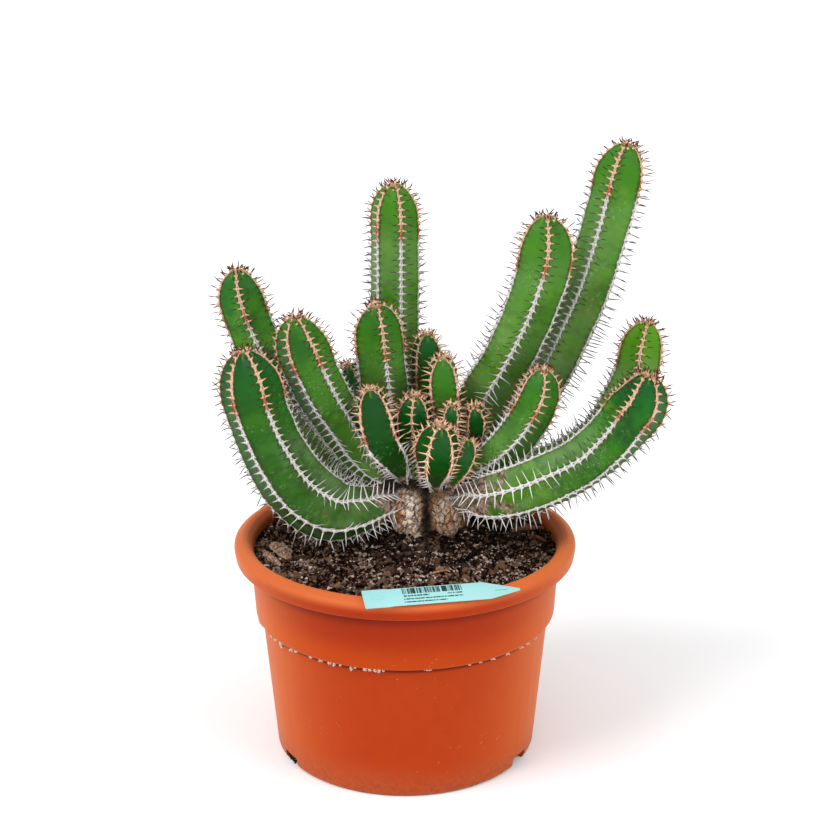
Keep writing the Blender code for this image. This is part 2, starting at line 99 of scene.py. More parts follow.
sums = {"add": "ADD", "sub": "SUBTRACT", "mul": "MULTIPLY", "truediv": "DIVIDE", "pow": "POWER"}
functions = {
    "sin": "SINE", "cos": "COSINE", "exp": "EXPONENT", "floor": "FLOOR", "ceil": "CEIL", "round": "ROUND",
    "fract": "FRACT", "sign": "SIGN", "absolute": "ABSOLUTE", "least": "MINIMUM", "most": "MAXIMUM",
    "over": "GREATER_THAN", "unit": "NORMALIZE", "length": "LENGTH", "dot": "DOT_PRODUCT",
    "cross": "CROSS_PRODUCT",
}
for name, operation in sums.items():
    setattr(Value, f"__{name}__", makeOperator(operation))
    setattr(Value, f"__r{name}__", makeOperator(operation, True))
for name, operation in functions.items():
    setattr(Value, name, makeOperator(operation))


class Tree:
    def __init__(self, tree):
        self.tree = tree

    @classmethod
    def group(cls, name, kind="GeometryNodeTree"):
        made = cls(bpy.data.node_groups.new(name, kind))
        made.start = made.tree.nodes.new("NodeGroupInput")
        made.end = made.tree.nodes.new("NodeGroupOutput")
        return made

    def inputs(self, **sockets):  # a number or a vector is the default, a word names the kind
        found = []
        for name, value in sockets.items():
            name = name.replace("_", " ")
            kind = {float: "Float", int: "Int", tuple: "Vector"}.get(type(value), value)
            socket = self.tree.interface.new_socket(name, in_out="INPUT", socket_type="NodeSocket" + kind)
            if kind != value:
                socket.default_value = value
            found.append(Value(self.tree, self.start.outputs[name]))
        return found

    def outputs(self, **values):
        for name, value in values.items():
            kind = {"VALUE": "Float"}.get(value.socket.type, value.socket.type.title())
            self.tree.interface.new_socket(name, in_out="OUTPUT", socket_type="NodeSocket" + kind)
            feed(self.end.inputs[name], value)

    def values(self, kind, *results, **items):  # a name with a capital is a socket's, any other a setting's
        kinds = (start + kind for start in (self.tree.bl_idname[:-4], "ShaderNode", "FunctionNode"))
        node = self.tree.nodes.new(next(kind for kind in kinds if hasattr(bpy.types, kind)))
        for name, item in items.items():
            if name.islower():
                setattr(node, name, item)
        for name, item in items.items():
            if not name.islower():
                feed(pick(node.inputs, name.replace("_", " ")), item)
        return [Value(self.tree, pick(node.outputs, result)) for result in results]

    def value(self, kind, result=0, **items):
        return self.values(kind, result, **items)[0]

    def use(self, group, *results, **items):
        found = self.values("Group", *(results or (0,)), node_tree=group, **items)
        return found if results else found[0]

    def smooth(self, x, low, high):
        return self.value("MapRange", Value=x, From_Min=low, From_Max=high, interpolation_type="SMOOTHSTEP")

    def random(self, low, high, seed, index=None):
        return self.value("RandomValue", "Value", Min=low, Max=high, Seed=seed, ID=index, data_type="FLOAT")

    def store(self, geometry, **fields):
        for name, field in fields.items():
            kind = "FLOAT_VECTOR" if field.socket.type == "VECTOR" else "FLOAT"
            inputs = {"Geometry": geometry, "Name": name, "Value": field}
            geometry = self.value("StoreNamedAttribute", **inputs, data_type=kind)
        return geometry

    def attribute(self, name):
        return self.value("Attribute", "Fac", attribute_name=name)

    def noise(self, place, scale, detail=2, roughness=0.5):
        return self.value("TexNoise", Vector=place, Scale=scale, Detail=detail, Roughness=roughness)

    def patches(self, low, high, *noise):
        return self.smooth(self.noise(*noise), low, high)

    def cells(self, place, scale, feature="F1", result="Distance"):
        return self.value("TexVoronoi", result, Vector=place, Scale=scale, feature=feature)

    def mix(self, share, a, b):
        return self.value("Mix", "Result", Factor=share, A=a, B=b, data_type="RGBA")

    def ramp(self, x, *stops):
        found = self.value("ValToRGB", "Color", Fac=x)
        marks = found.socket.node.color_ramp.elements
        while len(marks) < len(stops):
            marks.new(0.5)
        for mark, (place, *colour) in zip(marks, stops):
            mark.position = place
            mark.color = (*rgb(*colour), 1)
        return found

    def finish(self, geometry, material):
        geometry = self.value("RealizeInstances", Geometry=geometry)
        self.outputs(Geometry=self.value("SetMaterial", Geometry=geometry, Material=material))
        return self.tree


lit = {"sheen": 0.012, "strength": 1.42}


def rgb(red, green, blue):  # the surface colour that looks like this screen colour under the lamps
    seen = (((v / 255 + 0.055) / 1.055) ** 2.4 for v in (red, green, blue))
    return tuple(max(v - lit["sheen"], 0.0015) / lit["strength"] for v in seen)


class Paint(Tree):  # a material's tree, with its colour so far
    def __init__(self, name):
        self.material = bpy.data.materials.new(name)
        self.material.use_nodes = True
        super().__init__(self.material.node_tree)
        self.shader = self.tree.nodes["Principled BSDF"].inputs
        self.place = self.value("TexCoord", "Object")

    def coat(self, share, *colour):
        self.colour = self.mix(share, self.colour, rgb(*colour))

    def dress(self, roughness, height=None, strength=0.3, distance=0.0004, shine=0.22):
        self.shader["Specular IOR Level"].default_value = shine
        feed(self.shader["Base Color"], self.colour)
        feed(self.shader["Roughness"], roughness)
        if height is not None:
            bump = self.value("Bump", Height=height, Strength=strength, Distance=distance)
            feed(self.shader["Normal"], bump)
        return self.material


def link(name, data, group=None):
    obj = bpy.data.objects.new(name, data)
    (group or scene.collection).objects.link(obj)
    return obj


def carrier(name):  # an empty mesh that a node tree fills
    return link(name, bpy.data.meshes.new(name))


def grow(obj, tree, **values):
    modifier = obj.modifiers.new(tree.name, "NODES")
    modifier.node_group = tree
    sockets = {s.name: s.identifier for s in tree.interface.items_tree if s.in_out == "INPUT"}
    for name, value in values.items():
        modifier[sockets[name.replace("_", " ")]] = value
    return obj


def freeze(obj, group=None):  # the evaluated result as a plain mesh object of the same name
    name = obj.name
    graph = bpy.context.evaluated_depsgraph_get()
    ready = obj.evaluated_get(graph)
    mesh = bpy.data.meshes.new_from_object(ready, preserve_all_data_layers=True, depsgraph=graph)
    bpy.data.objects.remove(obj)
    mesh.name = name
    return link(name, mesh, group)


def meshOf(name, shape):
    mesh = bpy.data.meshes.new(name)
    shape.to_mesh(mesh)
    shape.free()
    return mesh


def newMesh(name, points, faces=(), edges=()):
    mesh = bpy.data.meshes.new(name)
    mesh.from_pydata(points, edges, faces)
    return mesh


def tubeFaces(rings, sides):  # the walls between rings of points
    faces = []
    for ring in range(rings):
        for side in range(sides):
            here, after = ring * sides + side, ring * sides + (side + 1) % sides
            faces.append((here, after, after + sides, here + sides))
    return faces


def finishPiece(obj, slot, *nodes):
    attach(obj, body)
    if nodes:
        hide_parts(*nodes)
    return obj


def smoothShade(mesh, angle=None):
    mesh.polygons.foreach_set("use_smooth", [True] * len(mesh.polygons))
    if angle:
        mesh.set_sharp_from_angle(angle=radians(angle))


# Shader groups
def makeSpeckles():  # small ragged specks that come in patches
    t = Tree.group("speckles", "ShaderNodeTree")
    place, density, size, patch = t.inputs(Place="Vector", Density=300.0, Size=0.2, Patch=0.5)
    dots = t.cells(place + (t.noise(place, density * 1.7, 2) - 0.5) * (1.5 / density), density)
    inPatch = t.patches(patch, patch + 0.12, place, density / 12, 3)
    t.outputs(Mask=(1 - t.smooth(dots, size * 0.6, size)) * inPatch)
    return t.tree


def makeGrain():  # long fibres along one axis, for wood, bark and straw
    t = Tree.group("grain", "ShaderNodeTree")
    place, fineness, stretch = t.inputs(Place="Vector", Fineness=900.0, Stretch=(1.0, 0.12, 1.0))
    bent = place + t.noise(place, 90) * 0.002
    fibres = t.noise(bent * stretch, fineness, 4, 0.65)
    t.outputs(Fibres=t.smooth(fibres, 0.3, 0.7))
    return t.tree


def makeUneven():  # slow and quick variation in one
    t = Tree.group("uneven", "ShaderNodeTree")
    place, slow, quick = t.inputs(Place="Vector", Slow=30.0, Quick=250.0)
    t.outputs(Amount=t.noise(place, slow) * 0.65 + t.noise(place, quick, 3, 0.6) * 0.35)
    return t.tree


speckles = makeSpeckles()
grain = makeGrain()
uneven = makeUneven()


def makeSkinMaterial():
    t = Paint("euphorbia skin")
    place = t.place
    down, up, aside = map(t.attribute, ("belowTip", "aboveFoot", "aside"))  # in mm
    lean, upward = map(t.attribute, ("lean", "upward"))  # 1 at the horn band's own edge, and facing the sky
    facet, flare, phase, tone = map(t.attribute, ("facet", "flare", "phase", "tone"))
    vary = t.use(uneven, Place=place, Slow=38, Quick=260)

    def past(low, high):  # grows from 0 to 1 on the way down from the tip
        return t.smooth(down, low, high)

    age = (down + (vary - 0.5) * 50) / 150
    t.colour = t.ramp(age, (0, 26, 98, 46), (0.12, 40, 116, 40), (0.26, 64, 134, 26), (0.55, 76, 130, 40),
                      (1, 104, 132, 66))
    t.coat(tone.most(0), 92, 156, 26)
    t.coat(tone.least(0) * -1, 10, 76, 32)
    t.coat(t.patches(0.5, 0.68, place, 46, 4, 0.62) * (0.65 - tone.most(0) * 0.6), 12, 76, 40)
    lime = t.patches(0.5, 0.68, place + 0.5, 52, 3, 0.6) * past(8, 26)
    t.coat(lime * (tone * 1.7 + 1).most(0).least(1) * 0.6, 104, 164, 22)
    curved = down + (facet - 0.5) * (facet - 0.5) * 8 + vary * 9
    rings = t.value("TexNoise", W=curved, Scale=0.22, Detail=1.5, Roughness=0.5, noise_dimensions="1D")
    t.coat(t.smooth(rings, 0.46, 0.74) * past(12, 40) * 0.3, 34, 76, 24)
    t.coat(t.patches(0.52, 0.66, place + 0.9, 75, 4, 0.65) * past(50, 100) * 0.5, 112, 116, 62)
    # painted shade: each facet is darker next to its ribs
    t.coat(t.smooth(facet, 0.55, 0.12) * 0.55, 16, 68, 22)
    # painted shade: the skin is darker where it turns away from the view, at its outlines
    t.coat(t.smooth(t.value("LayerWeight", "Facing", Blend=0.5), 0.45, 0.95) * 0.7, 12, 54, 14)
    wedge = t.smooth(facet, 0.8, 1) * (1 - past(2.2, 5.5)) * past(1, 2.2)
    t.coat(wedge * 0.6, 130, 156, 48)
    dots = t.use(speckles, Place=place, Density=620, Size=0.3, Patch=0.5)
    scuff = t.use(speckles, Place=place + 0.3, Density=300, Size=0.34, Patch=0.55)
    smear = t.patches(0.56, 0.66, place, 420, 4, 0.7) * t.patches(0.54, 0.66, place + 0.2, 60)
    middle = past(16, 32) * (1 - past(80, 120))
    t.coat(dots.most(scuff * 0.7).most(smear) * middle * 0.5, 160, 200, 152)
    # painted highlight: the middle of each facet is paler lower down the stem
    facetHighlight = t.patches(0.5, 0.68, place, 30, 3, 0.6) * t.smooth(facet, 0.2, 0.8) * past(40, 75)
    # painted light: facets that face the sky are paler
    facing = t.smooth(upward, -0.1, 0.6) * past(20, 60) * t.smooth(vary, 0.38, 0.6)
    t.coat((facetHighlight * 0.36).most(facing * 0.22), 164, 194, 140)
    # painted shade: facets that face down are darker
    t.coat(t.smooth(upward, 0.1, -0.5) * past(20, 60) * 0.35, 44, 84, 30)
    t.coat(tone.most(0) * t.patches(0.32, 0.56, place + 0.7, 26, 3) * past(10, 40) * 0.46, 150, 190, 120)
    corkEdge = up / t.attribute("cork") + (t.noise(place, 95, 5, 0.65) - 0.5) * 2
    cork = t.mix(t.patches(0.38, 0.62, place, 420, 4, 0.7), rgb(86, 66, 54), rgb(184, 160, 142))
    green = t.mix(1 - t.smooth(corkEdge, 0.65, 0.95), t.colour, cork)
    hornAge = down + (vary - 0.5) * 26
    t.colour = t.ramp(hornAge / 150, (0, 232, 188, 150), (0.125, 250, 216, 184), (0.165, 202, 118, 76),
                      (0.185, 206, 150, 120), (0.215, 250, 247, 244), (0.75, 246, 244, 242),
                      (1, 222, 216, 208))
    young = 1 - t.smooth(hornAge, 26, 33)
    t.coat((1 - flare) * (1 - young) * 0.2, 156, 138, 128)
    t.coat(t.patches(0.5, 0.68, place, 1000, 3, 0.6) * (young * 0.35 + 0.15), 128, 88, 68)
    t.coat((1 - past(0.6, 2.4)) * 0.5, 140, 76, 50)
    eyeAlong = (phase - 0.74).absolute() * 5.3
    eye = 1 - t.smooth(eyeAlong * eyeAlong * 0.6 + aside * aside, 0.06, 0.26)
    t.coat(eye * 0.75, 84, 44, 32)
    edge = lean / (flare * 0.6 + 0.62) + (t.noise(place, 700, 3, 0.6) - 0.5) * 0.9
    onBand = (1 - t.smooth(edge, 0.85, 1)).most(1 - past(0.4, 1.6))
    outline = t.smooth(edge, 0.62, 0.95) * (1 - t.smooth(edge, 1.1, 1.5)) * past(1, 3)
    t.colour = t.mix(onBand, green, t.colour)
    t.coat(outline * (young * 0.35 + 0.35), 78, 44, 28)
    rough = 0.38 + onBand * 0.3 + t.noise(place, 300, 3) * 0.2
    height = t.noise(place, 620, 4, 0.6) * (0.4 + onBand)
    return t.dress(rough, height, 0.4, 0.0003, 0.17)


def makeSpineMaterial():
    t = Paint("spine horn")
    place = t.place
    tender = t.attribute("tender")  # 1 on the short stems, whose spines have paler tips
    reach = t.attribute("reach") * (1 - tender * 0.4)
    age = t.attribute("age")
    young = t.ramp(reach, (0, 255, 220, 186), (0.3, 236, 184, 148), (0.46, 112, 66, 46), (0.75, 40, 25, 21))
    old = t.ramp(reach, (0, 250, 246, 242), (0.22, 212, 202, 196), (0.45, 104, 92, 88), (1, 38, 33, 34))
    pale = t.ramp(reach, (0, 250, 247, 244), (0.75, 250, 247, 244), (1, 190, 178, 170))
    t.colour = t.mix(t.smooth(age, 0.2, 0.36), young, old)
    t.colour = t.mix(t.attribute("whitened"), t.colour, pale)
    t.coat(t.attribute("crown") * t.smooth(reach, 0.35, 0.9) * (0.7 - tender * 0.3), 84, 40, 28)
    return t.dress(0.5 + t.noise(place, 700) * 0.15)


def makePotMaterial():
    t = Paint("terracotta plastic")
    place = t.place
    vary = t.use(uneven, Place=place, Slow=12, Quick=140)
    t.colour = t.ramp(vary, (0.25, 188, 65, 6), (0.5, 195, 70, 9), (0.8, 203, 77, 17))
    high = place.axis("Z")

    def above(low, top):
        return t.smooth(high, low, top)

    # painted shade: the collar and rim above the step are darker
    t.coat(above(0.079, 0.0825) * 0.5, 166, 48, 2)
    t.coat(above(0.1, 0.084) * above(0.079, 0.081) * 0.5, 222, 88, 20)
    # painted sheen: paler orange where the surface turns away from the view, towards the outlines
    t.coat(t.smooth(t.value("LayerWeight", "Facing", Blend=0.5), 0.2, 0.85) * 0.6, 240, 120, 46)
    t.coat((1 - t.smooth(high + (vary - 0.5) * 0.03, 0.002, 0.024)) * 0.5, 204, 104, 66)
    dust = t.patches(0.42, 0.66, place, 480, 5, 0.75) * (1 - above(0.002, 0.02))
    t.coat(dust * 0.55, 132, 74, 50)
    # patchy grime below the step, which also stands for painted shade under it
    grimeAndShade = t.patches(0.5, 0.8, place, 60, 4, 0.7) * above(0.068, 0.0795) * (1 - above(0.0805, 0.082))
    t.coat(grimeAndShade * 0.5, 150, 64, 32)
    dots = t.use(speckles, Place=place, Density=240, Size=0.115, Patch=0.53)
    t.coat(dots * 0.6, 240, 180, 130)
    t.coat(above(0.117, 0.1225) * 0.7, 238, 128, 74)
    # painted shadow: dark bands on the wall just under the rim and just under the step
    shadowUnderRim = above(0.104, 0.1125) * (1 - above(0.1132, 0.1138))
    shadowUnderStep = above(0.0769, 0.0788) * (1 - above(0.0805, 0.081))
    t.coat((shadowUnderRim * 0.65).most(shadowUnderStep * 0.75), 92, 26, 6)
    # painted contact shadow: a thin dark line at the very foot
    t.coat((1 - above(0.0004, 0.0014)) * 0.6, 70, 34, 20)
    rough = 0.34 + t.noise(place * (1, 1, 0.08), 260, 3, 0.6) * 0.2 + dots * 0.3
    height = t.noise(place, 1400, 3) * 0.6 + t.noise(place, 160, 2)
    for name, value in {"Weight": 0.12, "Roughness": 0.4, "Tint": (1, 0.58, 0.22, 1)}.items():
        t.shader["Sheen " + name].default_value = value
    return t.dress(rough, height, 0.12, 0.0003, 0.09)


def makeSoilMaterial():
    t = Paint("potting soil")
    place = t.place
    t.colour = t.ramp(t.noise(place, 420, 5, 0.7), (0.36, 8, 4, 3), (0.5, 38, 25, 18), (0.66, 112, 82, 64),
                      (0.8, 156, 126, 106))
    t.coat(t.smooth(t.attribute("shade"), 0.5, 1) * 0.7, 152, 118, 94)
    # painted shade: the soil is darker round the trunk, under the stems
    shadeUnderStems = 1 - t.smooth((place * (1, 1, 0) - (0.014, 0.012, 0)).length(), 0.034, 0.074)
    t.coat(shadeUnderStems * 0.7, 16, 9, 6)
    return t.dress(0.95, t.noise(place, 1100, 4, 0.7), 0.7, 0.0006, 0.04)


def makeGritMaterial():
    t = Paint("pumice grit")
    place = t.place
    t.colour = t.ramp(t.attribute("shade"), (0, 94, 73, 61), (0.5, 146, 124, 110), (0.85, 182, 164, 152),
                      (1, 228, 218, 210))
    t.coat(t.patches(0.5, 0.75, place, 2200, 3) * 0.4, 96, 72, 62)
    return t.dress(0.85, t.noise(place, 2600, 3), 0.5, 0.0003)


def crackFields(t, place, size):  # the way to a crack and to a finer one, and each plate's shade
    warp = t.value("TexNoise", "Color", Vector=place, Scale=170, Detail=5, Roughness=0.75) - 0.5
    bent = (place + warp * 0.012) * (1, 1, 0.8)
    edge = t.cells(bent, 1 / size, "DISTANCE_TO_EDGE")
    chip = t.cells(bent, 2.6 / size, "DISTANCE_TO_EDGE") + t.patches(0.6, 0.42, place, 110) * 0.2
    return edge, chip, t.cells(bent, 1 / size, result="Color") * 1


def makeBarkMaterial():
    t = Paint("cracked bark")
    place = t.place
    rest = t.value("Attribute", "Vector", attribute_name="rest")
    edge, chip, shade = crackFields(t, rest, trunkFinish["crackSize"] * mm)
    vary = t.use(uneven, Place=place, Slow=90, Quick=520)
    fibres = t.use(grain, Place=place, Fineness=800, Stretch=(1, 1, 0.25))
    # each plate's own tone, with painted highlights: the ramp's palest stops and the slow noise stand for
    # glossy highlights on the plates
    broad = shade * 0.3 + vary * 0.35 + t.noise(place, 75) * 0.5
    t.colour = t.ramp(broad, (0.36, 146, 100, 70), (0.44, 224, 174, 138), (0.51, 255, 220, 188),
                      (0.6, 255, 238, 218))
    worn = t.smooth(edge, 0.03, 0.2)
    t.coat((1 - worn) * 0.35, 120, 80, 52)
    t.coat(fibres * 0.2, 148, 106, 74)
    t.coat(1 - t.smooth(t.attribute("plate"), 0.1, 0.85), 108, 76, 54)
    t.coat(t.smooth(place.axis("X"), 0.008, 0.016) * 0.35, 150, 108, 78)
    t.coat(t.attribute("rust"), 190, 98, 42)
    t.coat(t.patches(0.5, 0.62, place + 0.4, 320, 4, 0.65) * 0.3, 150, 104, 74)
    open = t.patches(0.4, 0.54, place, 260, 2) * 0.5 + 0.5
    crack = ((1 - t.smooth(edge, 0.02, 0.1)) * open).most((1 - t.smooth(chip, 0.01, 0.07)) * 0.3)
    t.coat(crack * 0.92, 34, 21, 14)
    high = place.axis("Z")
    shadow = t.mix(t.patches(0.5, 0.64, place, 130, 4, 0.6), rgb(18, 9, 5), rgb(104, 74, 54))
    t.colour = t.mix(t.smooth(high + (vary - 0.5) * 0.012, 0.1415, 0.1485) * 0.92, t.colour, shadow)
    t.colour = t.mix(t.attribute("gap") * 0.95, t.colour, shadow)
    t.coat((1 - t.smooth(high + (vary - 0.5) * 0.02, 0.117, 0.1235)) * 0.85, 54, 37, 28)
    height = worn * 0.9 + fibres * 0.5 + t.noise(place, 1300, 4, 0.7)
    return t.dress(0.7 - worn * 0.22, height, 0.6, 0.0006, 0.12)


def makeWoodMaterial(name, light, dark):
    t = Paint(name)
    place = t.place
    fibres = t.use(grain, Place=place, Fineness=1100, Stretch=(1, 0.3, 1))
    t.colour = t.mix(fibres, dark, light)
    t.coat(t.patches(0.45, 0.7, place, 260, 3) * 0.4, 70, 48, 34)
    return t.dress(0.85, fibres, 0.6, 0.0005)


def makeCrustMaterial():
    t = Paint("lime crust")
    place = t.place
    t.colour = t.mix(t.noise(place, 900), rgb(246, 232, 218), rgb(222, 184, 152))
    return t.dress(0.9, t.noise(place, 2400), 0.4, 0.0002)


# Camera, stage and light
# in mm and degrees, with a lens that suits a 36 mm sensor
view = {"target": (8.32, 0, 190.36), "distance": 955.06, "elevation": 18.51, "lens": 36 * 1751.93 / 840}


def makeCamera():
    data = bpy.data.cameras.new("camera")
    data.lens = view["lens"]
    data.clip_end = 50
    camera = link("camera", data)
    rise = radians(view["elevation"])
    back = Vector((0, -cos(rise), sin(rise)))
    camera.location = (Vector(view["target"]) + back * view["distance"]) * mm
    camera.rotation_euler = (pi / 2 - rise, 0, 0)
    scene.camera = camera


light = {
    "sky": 0.8,
    "suns": {"left": (1.8, 34, (0.75, 0.45, -0.9)), "right": (1, 45, (-0.85, 0.45, -0.75)),
             "front": (0.35, 50, (0.1, 1, -0.3))},
    "spotPlace": (10, -420, 262), "spotAim": (13, 0, 135), "spotPower": 4.2, "spotCone": 17, "spotSize": 30,
}


def turnTo(aim):
    return Vector(aim).to_track_quat("-Z", "Y").to_euler()


def makeStage():
    bpy.ops.mesh.primitive_plane_add(size=30)
    floor = bpy.context.object
    floor.name = "floor"
    material = bpy.data.materials.new("pale floor")
    material.use_nodes = True
    finish = {"Base Color": (0.93, 0.93, 0.935, 1), "Roughness": 0.8, "Specular IOR Level": 0.1}
    for name, value in finish.items():
        material.node_tree.nodes["Principled BSDF"].inputs[name].default_value = value
    floor.data.materials.append(material)
    world = bpy.data.worlds.new("studio")
    world.use_nodes = True
    sky = world.node_tree.nodes["Background"]
    sky.inputs["Color"].default_value = (1, 1, 1, 1)
    sky.inputs["Strength"].default_value = light["sky"]
    scene.world = world
    for name, (energy, softness, aim) in light["suns"].items():
        data = bpy.data.lights.new(name, "SUN")
        data.energy = energy
        data.angle = radians(softness)
        link(name, data).rotation_euler = turnTo(aim)
    data = bpy.data.lights.new("trunk light", "SPOT")
    data.energy = light["spotPower"]
    data.spot_size = radians(light["spotCone"])
    data.spot_blend = 1.0
    data.shadow_soft_size = light["spotSize"] * mm
    lamp = link("trunk light", data)
    lamp.location = Vector(light["spotPlace"]) * mm
    lamp.rotation_euler = turnTo(Vector(light["spotAim"]) - Vector(light["spotPlace"]))


makeCamera()
makeStage()
print("camera and stage done")

skinMaterial = makeSkinMaterial()
spineMaterial = makeSpineMaterial()
potMaterial = makePotMaterial()
soilMaterial = makeSoilMaterial()
gritMaterial = makeGritMaterial()
crustMaterial = makeCrustMaterial()
woodMaterial = makeWoodMaterial("grey wood", rgb(222, 186, 160), rgb(70, 42, 30))
twigMaterial = makeWoodMaterial("twig bark", rgb(140, 100, 74), rgb(72, 48, 36))
strawMaterial = makeWoodMaterial("straw", rgb(200, 146, 100), rgb(140, 92, 62))

solid = bpy.data.collections.new("solid pieces")
scene.collection.children.link(solid)


# Pot: half section as (radius, height, how far the corner is rounded) in mm
pot = {
    "steps": 192,
    "outside": ((87.5, 123.8, 0.5), (90, 124.6, 1.5), (94.4, 122.3, 2.2), (95, 119.8, 2), (93.9, 114, 0.5),
                (92.2, 114, 0.5), (92.4, 120, 0.7), (88.2, 120.6, 1.2), (86.2, 118.5, 1.0),
                (83.8, 81.4, 0.8), (83, 80.6, 0.4), (80.4, 80.2, 0.25), (73.3, 2, 0.8), (71.8, 0, 0.7)),
    "inside": ((70, 2.4, 1.5), (78.5, 79, 1), (81.8, 83.5, 1), (84.6, 121, 2)),
    "floor": 2.4, "notchSize": (14, 18, 12), "notchAngles": (-60, 60, 180), "notchRadius": 73,
}


def roundCorners(outline, steps=4):
    points = []
    last = len(outline) - 1
    for k, (r, z, soft) in enumerate(outline):
        here = Vector((r, z))
        if k in (0, last) or not soft:
            points.append(here)
            continue
        before = Vector(outline[k - 1][:2]) - here
        after = Vector(outline[k + 1][:2]) - here
        a = here + before.normalized() * min(soft, before.length * 0.45)
        b = here + after.normalized() * min(soft, after.length * 0.45)
        for step in range(steps + 1):
            t = step / steps
            points.append(a * (1 - t) ** 2 + here * 2 * t * (1 - t) + b * t * t)
    return points


def turn(name, outline, steps):
    points = [(p.x * mm, 0, p.y * mm) for p in outline]
    obj = link(name, newMesh(name, points, edges=[(k, k + 1) for k in range(len(outline) - 1)]))
    screw = obj.modifiers.new("turn", "SCREW")
    screw.steps = steps
    screw.render_steps = steps
    screw.use_merge_vertices = True
    screw.merge_threshold = 0.00001
    return obj


def outward(mesh):
    shape = bmesh.new()
    shape.from_mesh(mesh)
    bmesh.ops.remove_doubles(shape, verts=shape.verts, dist=1e-6)
    bmesh.ops.recalc_face_normals(shape, faces=shape.faces)
    shape.to_mesh(mesh)
    shape.free()


def makePot():
    rows = ((0, pot["floor"], 0), *pot["inside"], *pot["outside"], (0, 0, 0))
    obj = freeze(turn("pot_shell", roundCorners(rows), pot["steps"]))
    outward(obj.data)
    cutters = []
    for angle in pot["notchAngles"]:
        spot = radians(angle)
        bpy.ops.mesh.primitive_cube_add(size=mm)
        cutter = bpy.context.object
        cutter.scale = pot["notchSize"]
        cutter.location = Vector((sin(spot), -cos(spot), 0)) * pot["notchRadius"] * mm
        cutter.rotation_euler.z = spot
        bpy.ops.object.transform_apply(location=True, rotation=True, scale=True)
        bevel = cutter.modifiers.new("soft", "BEVEL")
        bevel.width = 1.5 * mm
        bevel.segments = 3
        cut = obj.modifiers.new("notch", "BOOLEAN")
        cut.object = cutter
        cut.solver = "EXACT"
        cutters.append(cutter)
    obj = freeze(obj, solid)
    for cutter in cutters:
        bpy.data.objects.remove(cutter)
    smoothShade(obj.data, 28)
    obj.data.materials.clear()
    obj.data.materials.append(potMaterial)
    return finishPiece(obj, "pot_plastic", "pot")


makePot()
print("pot done")


# Soil: an uneven bed, then lumps, crumbs and grit scattered over it
soil = {"edge": 115.5, "mound": 2.6, "radius": 83.8, "rings": 84, "sides": 200, "uneven": 2.4, "depth": 30.0}


def soilHeight(x, y):
    level = soil["edge"] + soil["mound"] * (1 - (x * x + y * y) / soil["radius"] ** 2)
    wide = noise.noise(Vector((x, y, 0)) / 17) * soil["uneven"]
    near = noise.noise(Vector((x, y, 9)) / 5) * soil["uneven"] * 0.5
    return level + (wide + near) * min(1, (soil["radius"] - hypot(x, y)) / 5 + 0.25)


def makeSoilBed():
    points = [(0, 0, soilHeight(0, 0))]
    rings, sides = soil["rings"], soil["sides"]
    for ring in range(1, rings + 1):
        reach = soil["radius"] * ring / rings
        for side in range(sides):
            angle = 2 * pi * side / sides
            x, y = reach * cos(angle), reach * sin(angle)
            points.append((x, y, soilHeight(x, y)))
    low = len(points)
    points += [(x * 0.985, y * 0.985, soil["edge"] - soil["depth"]) for x, y, z in points[-sides:]]
    faces = [(0, 1 + side, 1 + (side + 1) % sides) for side in range(sides)]
    faces += [tuple(1 + k for k in (a, d, c, b)) for a, b, c, d in tubeFaces(rings, sides)]
    faces.append(tuple(reversed(range(low, low + sides))))
    mesh = newMesh("soil_bed", [tuple(v * mm for v in p) for p in points], faces)
    smoothShade(mesh)
    mesh.materials.append(soilMaterial)
    return finishPiece(link("soil_bed", mesh, solid), "potting_soil", "soil")


soilBed = makeSoilBed()
print("soil bed done")


# Trunk: lumps as centre and radii in mm, and how pale and plated the bark is there
trunk = {
    "crown": ((14, 33.5, 138), (30, 26, 21), 0.25),
    "lobeLeft": ((0.5, 12, 132.5), (9, 10.5, 14.5), 1.0),
    "lobeRight": ((23, 12.5, 131), (8.6, 11, 14.5), 0.7),
    "lobeDark": ((30, 18, 133), (7.6, 9, 14), 0.3),
    "shoulder": ((-10, 18, 148), (12, 10.5, 10.5), 0.35),
    "knob": ((28, 13, 146.6), (4.4, 5, 4.8), 0.5),
    "rootLeft": ((7, 4, 118), (7, 6, 5), 0.5),
    "rootFront": ((15, -4, 118), (8, 8, 4.5), 0.4),
    "plug": ((13, 20, 112), (21, 19, 14), 0.2),
}
trunkFinish = {
    "voxel": 0.6, "crackSize": 3.6, "crackDepth": 0.6, "lumpiness": 0.9,
    "rust": ((-1.5, 9, 151), (-2.6, 8, 146.5), (-3.8, 4.6, 141), (-4.4, 3.2, 135), (-4.2, 3, 129)),
    "rustWidth": 2, "gapX": 12, "gapWidth": 3.4, "gapBack": 14,
}


def makeBarkTree():
    t = Tree.group("cracked bark")
    geometry, size, depth, bark = t.inputs(Geometry="Geometry", Crack_Size=trunkFinish["crackSize"] * mm,
                                           Crack_Depth=trunkFinish["crackDepth"] * mm, Bark="Material")
    place = t.value("InputPosition")
    edge, chip, _ = crackFields(t, place, size)
    crack = (1 - t.smooth(edge, 0, 0.065)).most((1 - t.smooth(chip, 0, 0.08)) * 0.8)
    strong = t.value("InputNamedAttribute", "Attribute", Name="plate", data_type="FLOAT") * 0.7 + 0.3
    wrinkle = (t.noise(place, 420, 4, 0.65) - 0.5).absolute() * -0.0022
    rough = (t.noise(place, 900, 3, 0.6) - 0.5) * 0.0009
    lift = rough + wrinkle - crack * depth * strong + t.smooth(edge, 0.05, 0.3) * depth * 0.6 * strong
    geometry = t.store(geometry, rest=place)
    geometry = t.value("SetPosition", Geometry=geometry, Offset=t.value("InputNormal") * lift)
    return t.finish(geometry, bark)


barkMaterial = makeBarkMaterial()


